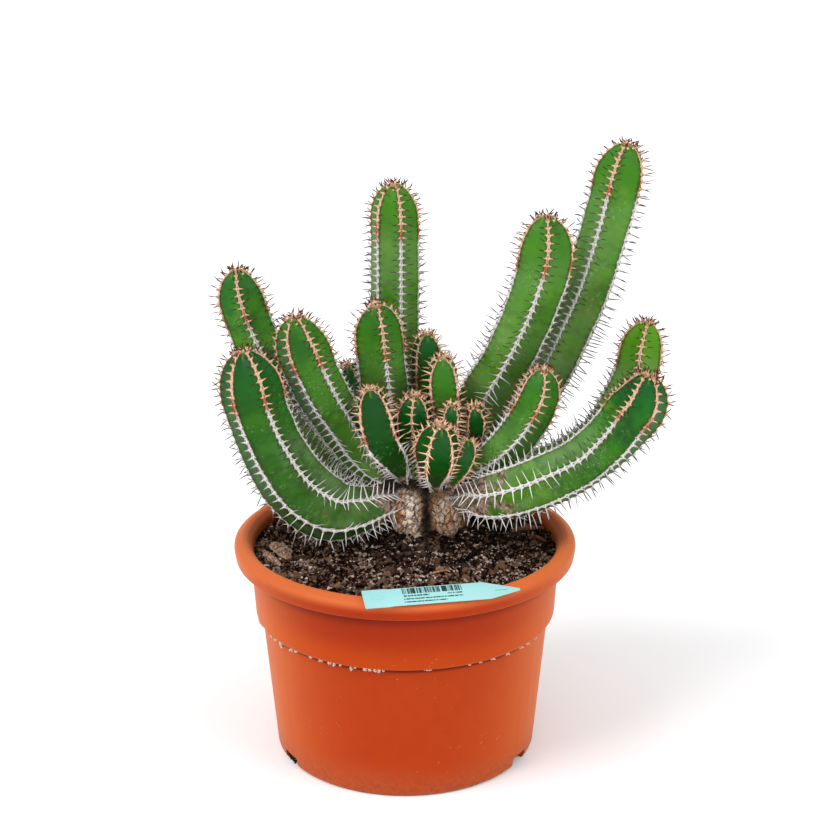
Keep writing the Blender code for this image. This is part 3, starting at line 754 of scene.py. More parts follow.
def colourPoints(obj, name, amount):  # keeps a number on each vertex, worked out from where it is
    found = [amount(vertex.co) for vertex in obj.data.vertices]
    obj.data.attributes.new(name, "FLOAT", "POINT").data.foreach_set("value", found)


def plateAt(spot):
    near = []
    for centre, radii, pale in trunk.values():
        away = Vector([(spot[k] / mm - centre[k]) / radii[k] for k in range(3)]).length - 1
        near.append((max(away, 0) ** 2 + 0.002, pale))
    return sum(pale / far for far, pale in near) / sum(1 / far for far, _ in near)


def rustAt(spot):
    spot = spot / mm
    line = [Vector(p) for p in trunkFinish["rust"]]
    away = min((spot - a.lerp(b, k / 8)).length for a, b in zip(line, line[1:]) for k in range(9))
    return max(0, 1 - away / trunkFinish["rustWidth"] + 0.5 * noise.noise(spot * 0.5))


def gapAt(spot):
    x, y, z = spot / mm
    wander = 1.2 * noise.noise(Vector((0, 0, z * 0.25)))
    away = abs(x - trunkFinish["gapX"] + wander) / trunkFinish["gapWidth"]
    return max(0, 1 - away ** 2) if y < trunkFinish["gapBack"] else 0


def makeTrunk():
    shape = bmesh.new()
    for centre, radii, _ in trunk.values():
        for vertex in bmesh.ops.create_icosphere(shape, subdivisions=5, radius=1)["verts"]:
            spot = Vector([centre[k] + vertex.co[k] * radii[k] for k in range(3)])
            out = Vector([vertex.co[k] / radii[k] for k in range(3)]).normalized()
            bump = 0.9 * noise.noise(spot * 0.16) + 0.5 * noise.noise(spot * 0.4)
            vertex.co = (spot + out * bump * trunkFinish["lumpiness"]) * mm
    obj = link("trunk_bark", meshOf("trunk_bark", shape))
    remesh = obj.modifiers.new("skin", "REMESH")
    remesh.mode = "VOXEL"
    remesh.voxel_size = trunkFinish["voxel"] * mm
    obj = freeze(obj)
    colourPoints(obj, "plate", plateAt)
    colourPoints(obj, "rust", rustAt)
    colourPoints(obj, "gap", gapAt)
    obj = freeze(grow(obj, makeBarkTree(), Bark=barkMaterial), solid)
    smoothShade(obj.data)
    return finishPiece(obj, "trunk_bark", "trunk")


trunkBark = makeTrunk()
print("trunk done")


# Stems 1 to 22: ribs, first rib's angle from the front, then x, y, z and radius in mm from foot to tip
stems = [
    (6, -35, ((-2, 20, 135, 6), (-9.5, 12, 137.5, 8.4), (-15.5, 5, 138.8, 10.8),
        (-29, -7, 140, 14.4), (-43, -13, 144, 18), (-58.5, -16, 158, 18.7), (-71, -18, 180.5, 17.6),
        (-78.5, -19, 202, 17), (-82, -20, 220, 17.2), (-84.8, -20, 236, 0))),
    (5, 0, ((-7.5, 28, 141, 6.3), (-23, 30, 147, 8), (-34, 31, 155, 10.8), (-45.5, 33, 167, 13),
        (-59.5, 35, 184.5, 14), (-73, 36, 206.5, 14), (-84, 37, 228, 13.7), (-90.5, 38, 248, 13.6),
        (-93.3, 38, 265.6, 0))),
    (6, -32, ((-9, 17, 149, 6), (-18.5, 13, 157, 7.7), (-26, 12, 167.6, 10.6),
        (-33, 10, 181, 12.7), (-43.6, 6, 201, 14.2), (-50.7, 3.2, 218, 14.6), (-56.2, 1.3, 235.3, 14.5),
        (-58.5, -0.4, 249.1, 0))),
    (6, 16, ((3.7, 36, 142, 6.3), (-0.3, 42, 155, 7.5), (-3.2, 48.7, 168, 10.9),
        (-5, 55.7, 184, 13.3), (-6, 62.5, 218, 14.1), (-6, 65.2, 246.7, 14.3), (-6, 66.6, 269.7, 14.2),
        (-6, 66.3, 291.6, 14.1), (-6.2, 65.3, 308.2, 0))),
    (4, 13, ((-0.8, 26.2, 142, 6.2), (-5.3, 27, 157.5, 7.4), (-8.6, 26.5, 170.8, 10.7),
        (-10.2, 27.2, 187.2, 13.2), (-12.2, 25, 206.6, 13.9), (-14.2, 22, 229.4, 13.7),
        (-15.6, 18.7, 250.7, 0))),
    (4, 45, ((-2, 15, 150, 4.6), (-3.2, 8.5, 158.5, 5.6), (-6.2, 2.5, 167, 8.6),
        (-10, -2.8, 174.8, 11), (-13, -6.5, 182.5, 12.3), (-16, -7.5, 195.5, 12.3), (-19, -6.7, 210.7, 0))),
    (4, -37, ((10.6, 30.8, 150, 5.7), (11.2, 35.3, 169.6, 7.4), (11.7, 39.4, 189, 9.6),
        (12.3, 41.4, 207.4, 10.7), (12.2, 42.4, 227.7, 0))),
    (4, 45, ((18, 25, 148, 5), (22.9, 23.3, 170.5, 7.4), (23.2, 20.4, 186, 9.8),
        (21.6, 19, 201.5, 11.2), (20.4, 18, 221.2, 0))),
    (6, -7, ((9, 18, 148, 5), (6.7, 13, 168.4, 7.8), (5.6, 9, 180.4, 9.9), (5, 6.6, 191, 10.4),
        (5.6, 6, 203.3, 0))),
    (5, -24, ((16, 11.4, 147.5, 4.6), (16, 5.6, 154.5, 6.2), (16.2, -0.7, 161.5, 8.5),
        (16.8, -7, 169, 11), (17.6, -12, 177, 12.6), (18.6, -15, 186, 12.4), (19.8, -16, 193.5, 0))),
    (4, 40, ((30, 31, 148, 4), (36.2, 29, 160, 5.7), (38.7, 25, 171.2, 7), (39.5, 15, 184, 6.9),
        (38, 9.5, 195.5, 0))),
    (4, -45, ((25.3, 10, 148, 3.5), (27.8, 3.4, 155.5, 4.4), (31.5, -0.5, 163.5, 6),
        (34.2, 0, 171.3, 6.9), (35, 2.5, 178.4, 0))),
    (5, 3, ((26, 40, 142, 6.3), (32.2, 45.5, 155.5, 9), (38.6, 46.4, 173, 13.6),
        (46, 41, 193, 15.2), (56, 34.5, 213.6, 14.8), (65.8, 30.4, 236.8, 14.9), (72, 28, 256, 15.4),
        (76, 27.2, 274.3, 15.8), (76.6, 26.8, 298.2, 0))),
    (5, -22, ((34, 47, 134, 6.4), (46.7, 54, 147.7, 7.6), (59.5, 58, 163.5, 12.2),
        (72, 57.3, 181.5, 14.4), (85.6, 56, 206.7, 14.9), (95, 54.3, 229, 15), (103, 54, 249.6, 14.9),
        (112.7, 55.4, 283.7, 14.8), (119.6, 57.6, 314.2, 15), (122.9, 58, 331.9, 0))),
    (5, 11, ((32, 20.3, 149, 5.1), (40.7, 14.4, 157, 8.2), (50, 10.7, 166, 10.6),
        (60.2, 7.4, 178, 12.1), (67.5, 6, 190, 12.6), (72.7, 4.6, 203.2, 12), (75, 4.2, 218.7, 0))),
    (6, -10, ((29, 12, 140, 6.5), (37.2, 2.1, 144.6, 8.8), (45.7, -4.8, 147, 13),
        (60, -12.4, 153, 15), (75, -14.8, 160, 15.7), (92.6, -15.6, 169.4, 15.4),
        (108.4, -15.3, 182.4, 15.3), (120.7, -15.8, 197.3, 15.5), (126.7, -16.7, 207.2, 15.5),
        (130.3, -16.7, 221.7, 0))),
    (5, -6, ((34.7, 36, 142, 6.3), (45.7, 37, 142, 7.3), (63, 39.5, 144.2, 10.4),
        (83, 41, 148.7, 12.4), (100, 42, 157, 12.9), (113.6, 43, 168.7, 12.9), (123.3, 43, 186.8, 13.1),
        (130.5, 43, 204.6, 13), (132.8, 43, 218.7, 13), (136.1, 43, 234.5, 0))),
    (4, 20, ((-3, 46, 142, 5.2), (-12.1, 59, 153.4, 7.6), (-21, 66.3, 168.2, 9.4),
        (-27.8, 67.6, 185, 9.9), (-33.3, 65, 202.8, 0))),
    (5, 10, ((8, 52, 131, 5.9), (-0.6, 72.6, 144.2, 7.7), (-5.3, 81.5, 163, 11.3),
        (-10.7, 89, 188.7, 12.8), (-12.8, 88.5, 222.7, 0))),
    (5, 20, ((22, 51, 137, 5.8), (33, 64.7, 150, 8.2), (45, 78.4, 161, 11.3),
        (57, 88, 179.7, 12.5), (62.6, 88.7, 205.5, 0))),
    (5, 0, ((-7, 46, 131, 5.9), (-18.5, 66, 139, 8.3), (-32, 77, 150.8, 11.9),
        (-47.5, 83, 170, 12.5), (-55.3, 83.2, 196, 0))),
    (4, 40, ((20.5, 17, 149, 3.2), (21.5, 12.5, 163, 3.6), (23.5, 6.5, 177, 5.6),
        (25.3, 3.6, 187, 5.9), (25.9, 2.8, 199, 0))),
]
# by stem: the twist at the tip in degrees, the tone from blue green to lime, and the cork's height in mm
twists = {16: -24}
tones = {1: -0.42, 2: 0.15, 3: 0.35, 4: 0.6, 5: 0.4, 6: -0.85, 8: 0.4, 9: -0.1, 10: -0.65, 12: -0.3, 13: 0.5,
         14: 0.5, 15: 0.3, 17: 1}
corks = {1: 32, 2: 30, 16: 46, 17: 22}
stemForm = {
    "twistReach": 60, "firstPair": 0.12, "front": (0, -0.948, 0.317), "smoothness": 20,
    "rowsBetweenSpines": 6, "pointsBetweenRibs": 18, "crestBias": 1.7, "spacing": 4.2, "bunch": 2.4,
    "hold": 0.6, "hollow": 0.07, "bandWidth": 1.5, "bandHeight": 0.55, "wave": 0.75, "unevenness": 0.8,
}


def makeLine(name, rows):
    curve = bpy.data.curves.new(name, "CURVE")
    curve.dimensions = "3D"
    spline = curve.splines.new("POLY")
    spline.points.add(len(rows) - 1)
    for k, (point, (x, y, z, radius)) in enumerate(zip(spline.points, rows)):
        point.co = (x * mm, y * mm, z * mm, 1)
        point.radius = (radius or rows[k - 1][3]) * mm
    return link(name, curve)


def makeStemPlace():  # where a stem's middle is at a length below its tip, and the directions across it
    t = Tree.group("stem place")
    line, down, angle, twist, bumps = t.inputs(Line="Geometry", Below_Tip=0.0, Turn=0.0, Twist=0.0,
                                               Unevenness=stemForm["unevenness"] * mm)
    angle = angle + twist * (1 - down / (stemForm["twistReach"] * mm)).most(0)
    length = t.value("CurveLength", Curve=line)
    reach = t.value("InputRadius")
    step = 2 * mm

    def sample(below):
        along = (length - below).most(0).least(length)
        return t.values("SampleCurve", "Position", "Value", Curves=line, Value=reach, Length=along,
                        mode="LENGTH", data_type="FLOAT", use_all_curves=True)

    def dome(full, below):
        x = (below / (full * 1.4)).most(0).least(1)
        return full * (1 - (1 - x) ** 2) ** 0.56

    place, full = sample(down)
    higher, fullHigher = sample(down - step)
    lower, fullLower = sample(down + step)
    along = (higher - lower).unit()
    front = stemForm["front"]
    ahead = (front - along * along.dot(front)).unit()
    out = ahead * angle.cos() + along.cross(ahead) * angle.sin()
    slope = (dome(fullHigher, down - step) - dome(fullLower, down + step)) / (2 * step)
    radius = dome(full, down)
    swell = (t.noise(place + out * radius, 62) - 0.5) * 2 * bumps * (radius / 0.009).least(1)
    t.outputs(Place=place, Radius=radius, Swell=swell, Along=along, Out=out, Around=along.cross(out),
              Slope=slope)
    return t.tree


stemPlace = makeStemPlace()


def below(q, spacing):  # length below the tip of the q-th spine pair, closer together near the tip
    bunch, hold = stemForm["bunch"], stemForm["hold"]
    return spacing * (q - bunch * hold * (1 - (q / -bunch).exp()))


def shiftOf(rib):  # each rib's spine pairs are set a little off its neighbour's
    return (rib * 0.53).fract()


def readStem(t):  # what the skin and the spines both need to know of a stem
    line, *stem = t.inputs(Line="Object", Ribs=5, First_Rib=0.0, Twist=0.0, Number=1,
                           Spacing=stemForm["spacing"] * mm, Band_Height=stemForm["bandHeight"] * mm)
    curve = t.value("ObjectInfo", "Geometry", Object=line, transform_space="ORIGINAL")
    curve = t.value("CurveSplineType", Curve=curve, spline_type="CATMULL_ROM")
    curve = t.value("SetSplineResolution", Geometry=curve, Resolution=stemForm["smoothness"])
    return curve, t.value("CurveLength", Curve=curve), *stem


def growStem(ending, tree, number, **values):
    name = f"stem_{number:02d}"
    ribs, first, _ = stems[number - 1]
    return grow(carrier(name + ending), tree, Line=bpy.data.objects[name + ".line"], Ribs=ribs,
                First_Rib=radians(first), Twist=radians(twists.get(number, 0)), Number=number, **values)


def makeSkinTree():
    t = Tree.group("ribbed stem")
    curve, length, ribs, first, twist, number, spacing, bandHeight = readStem(t)
    hollow, bandWidth, wave, tone, cork, skin = t.inputs(
        Hollow=stemForm["hollow"], Band_Width=stemForm["bandWidth"] * mm, Wave=stemForm["wave"] * mm,
        Tone=0.0, Cork=8.0, Skin="Material")
    perPair, perRib = stemForm["rowsBetweenSpines"], stemForm["pointsBetweenRibs"]
    rows = ((length / spacing + stemForm["bunch"] * stemForm["hold"]) * perPair).ceil() + 2
    columns = ribs * perRib
    grid = t.value("MeshGrid", Size_X=1, Size_Y=1, Vertices_X=rows, Vertices_Y=columns + 1)
    x, y = t.values("SeparateXYZ", "X", "Y", Vector=t.value("InputPosition"))
    row = ((x + 0.5) * (rows - 1)).round()
    column = ((y + 0.5) * columns).round()
    q = row / perPair
    down = below(q, spacing).least(length)
    nearest = (column / perRib + 0.0001).round()
    rib = ((nearest / ribs).fract() * ribs).round()
    aside = column / perRib - nearest
    facet = aside.absolute() * 2
    share = facet ** stemForm["crestBias"]
    half = pi / ribs
    angle = first + nearest * half * 2 + aside.sign() * share * half
    place, radius, swell, out = t.use(stemPlace, "Place", "Radius", "Swell", "Out",
                                      Line=curve, Below_Tip=down, Turn=angle, Twist=twist)
    small = (radius / 0.009).least(1)
    slim = (radius / 0.0125).least(1).most(0.66) * (radius / 0.004).least(1)
    phase = (q - shiftOf(rib) - stemForm["firstPair"]).fract()
    bump = (phase * 2 * pi).cos() * 0.5 + 0.5
    valley = (share * pi / 2).sin()
    reach = radius * (half.cos() / (half * (1 - share)).cos()) * (1 - hollow * valley * valley)
    far = radius * half * share
    flare = bump ** 2.4
    band = 1 - t.smooth(far / (bandWidth * (0.62 + 0.55 * flare) * slim), 0.62, 1.18)
    nearCrest = 1 - t.smooth(share, 0.03, 0.5)
    notTip = t.smooth(q, 0.4, 2)
    reach = reach + band * bandHeight * small * (0.7 + 0.5 * flare)
    reach = reach + (bump - 0.6) * wave * nearCrest * small * notTip
    reach = (reach + swell) * (1 - row.over(rows - 1.5))
    mesh = t.store(grid, belowTip=down * 1000, aboveFoot=(length - down) * 1000, facet=facet, flare=flare,
                   lean=far / (bandWidth * slim), upward=out.axis("Z"), phase=phase, aside=far * 1000,
                   number=number, tone=tone, cork=cork)
    mesh = t.value("SetPosition", Geometry=mesh, Position=place + out * reach)
    mesh = t.value("MergeByDistance", Geometry=mesh, Distance=0.00001)
    mesh = t.value("SetShadeSmooth", Geometry=mesh, Shade_Smooth=True)
    return t.finish(mesh, skin)


def makeSkins():
    tree = makeSkinTree()
    for number, (_, _, rows) in enumerate(stems, 1):
        name = f"stem_{number:02d}"
        makeLine(name + ".line", rows)
        tone, cork = float(tones.get(number, 0)), float(corks.get(number, 8))
        obj = freeze(growStem("_skin", tree, number, Tone=tone, Cork=cork, Skin=skinMaterial), solid)
        if meshVolume(obj.data) < 0:
            obj.data.flip_normals()
        finishPiece(obj, "stem_flesh", name)


def meshVolume(mesh):
    shape = bmesh.new()
    shape.from_mesh(mesh)
    volume = shape.calc_volume(signed=True)
    shape.free()
    return volume


makeSkins()
print("stem skins done")


# Spines: pairs on each rib's crest, kept clear of the other stems
spines = {
    "youngLength": 6.4, "oldLength": 8.6, "thickness": 0.68, "spread": 57.0, "room": 0.45, "crown": 9,
    "sides": 5, "profile": ((0, 1.0), (0.07, 0.66), (0.28, 0.53), (0.62, 0.42), (0.9, 0.2)), "bend": 1.3,
}


def makeSpineShape():
    sides, rings = spines["sides"], len(spines["profile"]) - 1
    points = []
    for up, wide in spines["profile"]:
        for side in range(sides):
            angle = 2 * pi * side / sides
            bow = spines["bend"] * mm * up * up
            points.append((wide * mm * cos(angle) + bow, wide * mm * sin(angle), up))
    points.append((spines["bend"] * mm, 0, 1))
    faces = tubeFaces(rings, sides)
    last = rings * sides
    faces += [(last + side, last + (side + 1) % sides, len(points) - 1) for side in range(sides)]
    faces.append(tuple(reversed(range(sides))))
    mesh = newMesh("spine shape", points, faces)
    mesh.attributes.new("reach", "FLOAT", "POINT").data.foreach_set("value", [up for _, _, up in points])
    smoothShade(mesh)
    return link("spine shape", mesh)


def makeRoom():  # how far a point is outside the obstacles' surface, and below 0 inside
    t = Tree.group("room at")
    others, point = t.inputs(Others="Geometry", Point="Vector")
    nearest, distance = t.values("Proximity", "Position", "Distance", Geometry=others, Sample_Position=point,
                                 target_element="FACES")
    facing = t.value("SampleNearestSurface", "Value", Mesh=others, Value=t.value("InputNormal"),
                     Sample_Position=point, data_type="FLOAT_VECTOR")
    t.outputs(Room=distance * (point - nearest).dot(facing).sign())
    return t.tree


def makeSpineTree():
    t = Tree.group("spine pairs")
    curve, length, ribs, first, twist, number, spacing, band = readStem(t)
    young, old, thick, spread, room, crownSpines, shape, obstacles, horn, seed = t.inputs(
        Young_Length=spines["youngLength"] * mm, Old_Length=spines["oldLength"] * mm,
        Thickness=spines["thickness"], Spread=radians(spines["spread"]), Room=spines["room"] * mm,
        Crown_Spines=spines["crown"],
        Shape="Object", Obstacles="Collection", Horn="Material", Seed=1)
    pairs = (length / spacing + stemForm["bunch"] * stemForm["hold"] - 1.2).floor()
    paired = pairs * ribs * 2
    points = t.value("Points", Count=paired + crownSpines)
    index = t.value("InputIndex")

    def vary(low, high, draw=0):
        return t.random(low, high, seed + draw, index)

    pair = (index / 2 + 0.001).floor()
    side = (index - pair * 2) * 2 - 1
    k = (pair / ribs + 0.001).floor()
    rib = pair - k * ribs
    single = index.over(paired - 0.5)
    q = (k + stemForm["firstPair"] + shiftOf(rib)) * (1 - single) + vary(0.02, 1.1, 21) * single
    rib = rib + single * vary(0, 9, 22)
    down = below(q, spacing)
    place, radius, swell, along, out, around, slope = t.use(
        stemPlace, "Place", "Radius", "Swell", "Along", "Out", "Around", "Slope",
        Line=curve, Below_Tip=down, Turn=first + rib * 2 * pi / ribs, Twist=twist)
    normal = (out - along * slope).unit()
    root = place + out * (radius + swell + band * 0.1) + around * side * (radius / 0.012).least(1) * 0.0006
    crown = 1 - t.smooth(down, 0.001, 0.011)
    tilt = (spread * (1 - crown * 0.42) + vary(-0.24, 0.2)) * side
    toward = (normal * tilt.cos() + around * tilt.sin() + along * vary(-0.22, 0.3, 7)).unit()
    grown = t.smooth(down, 0.03, 0.1)
    size = (young + (old - young) * grown) * vary(0.82, 1.15, 3) * (1 - crown * 0.3) * (1 - single * 0.25)
    between = radius * (pi / ribs).sin() * 2 - 0.0023
    size = size.least(between * 0.85 + 0.0022 + crown * 0.008)
    everything = t.value("CollectionInfo", Collection=obstacles, transform_space="ORIGINAL")
    everything = t.value("RealizeInstances", Geometry=everything)
    owner = t.value("InputNamedAttribute", "Attribute", Name="number", data_type="FLOAT")
    mine = ((owner - number).absolute() * -1).over(-0.5)
    others = t.value("DeleteGeometry", Geometry=everything, Selection=mine)

    def free(share):
        return t.use(roomAt, Others=others, Point=root + toward * size * share).over(room)

    stretch = free(0.5) * (0.5 + free(0.75) * (0.25 + free(1) * 0.25)) * free(0.15)
    foot = length - down + vary(-0.012, 0.012, 6)
    whitened = t.smooth(down, 0.05, 0.09) * (1 - t.smooth(foot, 0.055, 0.08))
    moved = t.value("SetPosition", Geometry=points, Position=root)
    moved = t.store(moved, age=(down + vary(-0.008, 0.008, 5)) / 0.11, crown=crown,
                    tender=1 - t.smooth(length, 0.08, 0.1), whitened=whitened)
    aim = t.value("AlignRotationToVector", Vector=toward, axis="Z")
    roll = t.value("AxisAngleToRotation", Axis=(0, 0, 1), Angle=vary(0, 6.28, 11))
    aim = t.value("RotateRotation", Rotation=aim, Rotate_By=roll, rotation_space="LOCAL")
    wide = thick * (1 + crown * 0.3) * (1 - whitened * 0.2) * vary(0.85, 1.15, 13)
    scale = t.value("CombineXYZ", X=wide, Y=wide, Z=size * stretch)
    form = t.value("ObjectInfo", "Geometry", Object=shape, transform_space="ORIGINAL")
    placed = t.value("InstanceOnPoints", Points=moved, Selection=stretch.over(0.4), Instance=form,
                     Rotation=aim, Scale=scale)
    return t.finish(placed, horn)


roomAt = makeRoom()


def makeSpines():
    tree = makeSpineTree()
    shape = makeSpineShape()
    count = 0
    for number in range(1, len(stems) + 1):
        obj = freeze(growStem("_spines", tree, number, Shape=shape, Obstacles=solid, Horn=spineMaterial,
                              Seed=number * 20))
        count += len(obj.data.vertices) // len(shape.data.vertices)
        finishPiece(obj, "stem_flesh")
    bpy.data.objects.remove(shape)
    return count


print("spines done:", makeSpines())
for number in range(1, len(stems) + 1):
    bpy.data.objects.remove(bpy.data.objects[f"stem_{number:02d}.line"])


# Soil cover: lumps, crumbs and grit, as pieces per square mm and radius in mm, up to a ceiling in metres
cover = {
    "lumps": {"Density": 0.05, "Least": 1.0, "Most": 2.6, "Sink": 0.2, "Patch": 0.25, "Seed": 21},
    "crumbs": {"Density": 0.34, "Least": 0.35, "Most": 1.2, "Sink": 0.55, "Seed": 3},
    "grit": {"Density": 0.4, "Least": 0.4, "Most": 1.15, "Sink": 0.5, "Patch": 0.36, "Rear": 0.3, "Seed": 8},
    "heap": {"Density": 0.3, "Least": 0.5, "Most": 1.9, "Sink": 0.4, "Ceiling": 0.1225, "Seed": 33},
}


def makePebble(name, seed, squash, detail):
    shape = bmesh.new()
    bmesh.ops.create_icosphere(shape, subdivisions=detail, radius=mm)
    for vertex in shape.verts:
        spot = vertex.co / mm + Vector((seed * 7.3, 0, 0))
        vertex.co *= 1 + 0.75 * noise.noise(spot * 0.9) + 0.45 * noise.noise(spot * 2.3)
        vertex.co.z *= squash
    return meshOf(name, shape)


def strew(t, points, shapes, size, turning=None):  # one of the shapes, picked at random, on each point
    kinds = t.value("CollectionInfo", Collection=shapes, Separate_Children=True, Reset_Children=True,
                    transform_space="ORIGINAL")
    return t.value("InstanceOnPoints", Points=points, Instance=kinds, Pick_Instance=True,
                   Rotation=turning, Scale=size)


def makeScatterTree():
    t = Tree.group("scatter")
    bed, shapes, density, least, most, sink, patch, rear, ceiling, material, seed = t.inputs(
        Bed="Object", Shapes="Collection", Density=100000.0, Least=0.5, Most=1.5, Sink=0.0003, Patch=0.0,
        Rear=1.0, Ceiling=1.0, Material="Material", Seed=1)
    ground = t.value("ObjectInfo", "Geometry", Object=bed, transform_space="ORIGINAL")
    place = t.value("InputPosition")
    bare = (1 - t.value("InputNormal").axis("Z").over(0.5)).most(place.axis("Z").over(ceiling))
    ground = t.value("DeleteGeometry", Geometry=ground, Selection=bare, domain="FACE")
    thick = t.smooth(t.noise(place, 70, 3), patch, patch + 0.16)
    thick = thick * (rear + (1 - rear) * (1 - t.smooth(place.axis("Y"), -0.035, 0.02)))
    points, normal = t.values("DistributePointsOnFaces", "Points", "Normal", Mesh=ground,
                              Density=density * thick, Seed=seed, distribute_method="RANDOM")
    size = least + (most - least) * t.random(0, 1, seed + 1) ** 2.2
    points = t.value("SetPosition", Geometry=points, Offset=normal * size * sink)
    points = t.store(points, shade=t.random(0, 1, seed + 2))
    spin = t.value("CombineXYZ", X=t.random(-0.7, 0.7, seed + 4), Y=t.random(-0.7, 0.7, seed + 5),
                   Z=t.random(0, 6.28, seed + 6))
    return t.finish(strew(t, points, shapes, size, t.value("EulerToRotation", Euler=spin)), material)


def makeShapes(name, count, squash, detail):
    group = bpy.data.collections.new(name)
    for k in range(count):
        group.objects.link(bpy.data.objects.new(f"{name} {k}", makePebble(name, k, squash, detail)))
    return group


scatter = makeScatterTree()


def makeCover():
    fine = makeShapes("pebble", 5, 0.8, 1)
    coarse = makeShapes("lump", 5, 0.75, 2)
    made = {"lumps": (coarse, soilMaterial, soilBed), "crumbs": (fine, soilMaterial, soilBed),
            "grit": (fine, gritMaterial, soilBed), "heap": (coarse, soilMaterial, trunkBark)}
    for name, (shapes, material, bed) in made.items():
        values = dict(cover[name])
        values["Density"] /= mm**2
        values["Sink"] *= mm
        obj = grow(carrier("soil_" + name), scatter, Bed=bed, Shapes=shapes, Material=material, **values)
        obj = freeze(obj)
        print("soil", name, len(obj.data.polygons))
        finishPiece(obj, "potting_soil")


makeCover()


# Lime crust: crumbs under the collar's step, as (degrees from the front, half width, count, drop in mm)
crust = {
    "radius": 83.3, "height": 80.6, "spill": (-61.5, 4.2, 44, 3.6, 72.4, 3.8),
    "clusters": (
        (-60.5, 1.4, 14, 0.9), (-56.8, 0.8, 10, 0.8), (-53.2, 0.9, 34, 3.2), (-46.5, 0.8, 16, 1.4),
        (-44, 0.8, 12, 0.8), (-32, 0.7, 12, 1.0), (-28, 0.8, 14, 1.1), (-26.3, 0.6, 12, 1.3),
        (-23.8, 0.5, 8, 0.6), (-19.6, 0.5, 20, 2.4), (-18, 0.4, 6, 0.5), (-14.2, 0.7, 18, 1.2),
        (-12.4, 0.6, 14, 1.3), (-10.6, 0.6, 18, 1.6), (-8.9, 0.5, 14, 1.5), (-7.4, 0.5, 8, 0.8),
        (-37, 1.5, 3, 0.3), (9, 3, 3, 0.2), (24.5, 0.6, 7, 0.5), (29, 0.8, 5, 0.5), (34.5, 1.0, 8, 0.7),
        (41.5, 0.7, 10, 1.3), (48.5, 1.2, 8, 0.6), (53, 0.8, 8, 0.9), (58, 1.6, 10, 0.7), (100, 9, 22, 0.9),
        (150, 9, 26, 1.4), (205, 8, 22, 1.0), (250, 8, 24, 1.2), (285, 6, 18, 1.0)),
}


def makeCrustTree():
    t = Tree.group("crust")
    shapes, middle, half, count, drop, radius, height, lime, seed = t.inputs(
        Shapes="Collection", Angle=0.0, Half_Width=0.03, Count=10, Drop=0.001, Radius=0.0812, Height=0.08,
        Lime="Material", Seed=1)
    points = t.value("Points", Count=count * 3)
    angle = middle + half * (t.random(-1, 1, seed) + t.random(-1, 1, seed + 1)) * 0.5
    fall = drop * t.random(-0.15, 1, seed + 2)
    out = radius + 0.0008 * t.random(-1, 0.4, seed + 3) - fall.most(0) * 0.25
    place = t.value("CombineXYZ", X=angle.sin() * out, Y=angle.cos() * out * -1, Z=height - fall)
    points = t.value("SetPosition", Geometry=points, Position=place)
    return t.finish(strew(t, points, shapes, t.random(0, 1, seed + 4) ** 2 * 0.5 + 0.14), lime)


def makeCrust():
    shapes = makeShapes("crust", 4, 0.8, 1)
    tree = makeCrustTree()

    def cluster(name, material, angle, half, count, drop, radius, height, seed):
        obj = grow(carrier(name), tree, Shapes=shapes, Angle=radians(angle), Half_Width=radians(half),
                   Count=count, Drop=drop * mm, Radius=radius * mm, Height=height * mm, Lime=material,
                   Seed=seed)
        return freeze(obj)

    made = [cluster(f"crust_{k:02d}", crustMaterial, *values, crust["radius"], crust["height"], k * 10)
            for k, values in enumerate(crust["clusters"])]
    finishPiece(join("lime_crust", made), "pot_plastic")
    finishPiece(cluster("soil_spill", soilMaterial, *crust["spill"], 5), "potting_soil")


def join(name, objects):
    shape = bmesh.new()
    for obj in objects:
        shape.from_mesh(obj.data)
    mesh = meshOf(name, shape)
    for material in objects[0].data.materials:
        mesh.materials.append(material)
    for obj in objects:
        bpy.data.objects.remove(obj)
    return link(name, mesh)


makeCrust()
print("crust done")


# Label: a pointed strip over the rim, with plain bars and rules
label = {
    "outline": ((-41, -7), (-40.4, -7.6), (-28, -7.6), (-26, -7.2), (24, -7.2), (40.2, -1.8), (40.2, -0.6),
                (22, 6.9), (-27.5, 6.9), (-29, 7.3), (-41, 7.3)),
    "thick": 0.6, "place": 13, "yaw": 10.5, "tilt": 12, "offset": 1.8, "rest": 90, "lift": 0.45,
    "rimTop": 124.6,
}


def makeLabelMaterial():
    t = Paint("label plastic")
    place = t.place
    spot = t.value("UVMap", "UV", uv_map="strip")
    u, v = spot.axis("X") * 1000, spot.axis("Y") * 1000

    def inside(x, low, high):
        return x.over(low) * (1 - x.over(high))

    bars = t.value("TexNoise", W=u * 0.85, Scale=1, Detail=2, Roughness=0.9, noise_dimensions="1D")
    marks = bars.over(0.47) * inside(u, -20.5, 10.5) * inside(v, 1.6, 6.4)
    rules = ((-0.1, -20.5, -7, 0.6), (-0.1, 2.5, 10.5, 0.5), (-2.7, -20.5, 10, 0.5), (-5.2, -20.5, 1.5, 0.5))
    for rule, (high, left, right, half) in enumerate(rules):
        dash = t.value("TexNoise", W=u * 1.5 + rule * 7, Scale=1, Detail=1, noise_dimensions="1D")
        marks = marks.most(dash.over(0.42) * inside(u, left, right) * inside(v, high - half, high + half))
    t.colour = t.mix(t.noise(place, 60), rgb(163, 222, 222), rgb(177, 232, 232))
    slot = inside(u, 27, 33.5) * inside(v, -1.3, -0.7)
    ring = (((u + 33.5) / 3.2) ** 2 + ((v - 0.4) / 1.6) ** 2 - 1).absolute()
    t.coat((1 - t.smooth(ring, 0.05, 0.25)) * 0.2, 70, 150, 155)
    t.coat(marks * 0.94, 20, 32, 38)
    t.coat(slot * 0.6, 60, 140, 145)
    return t.dress(0.42, t.noise(place, 500), 0.08, 0.0002)


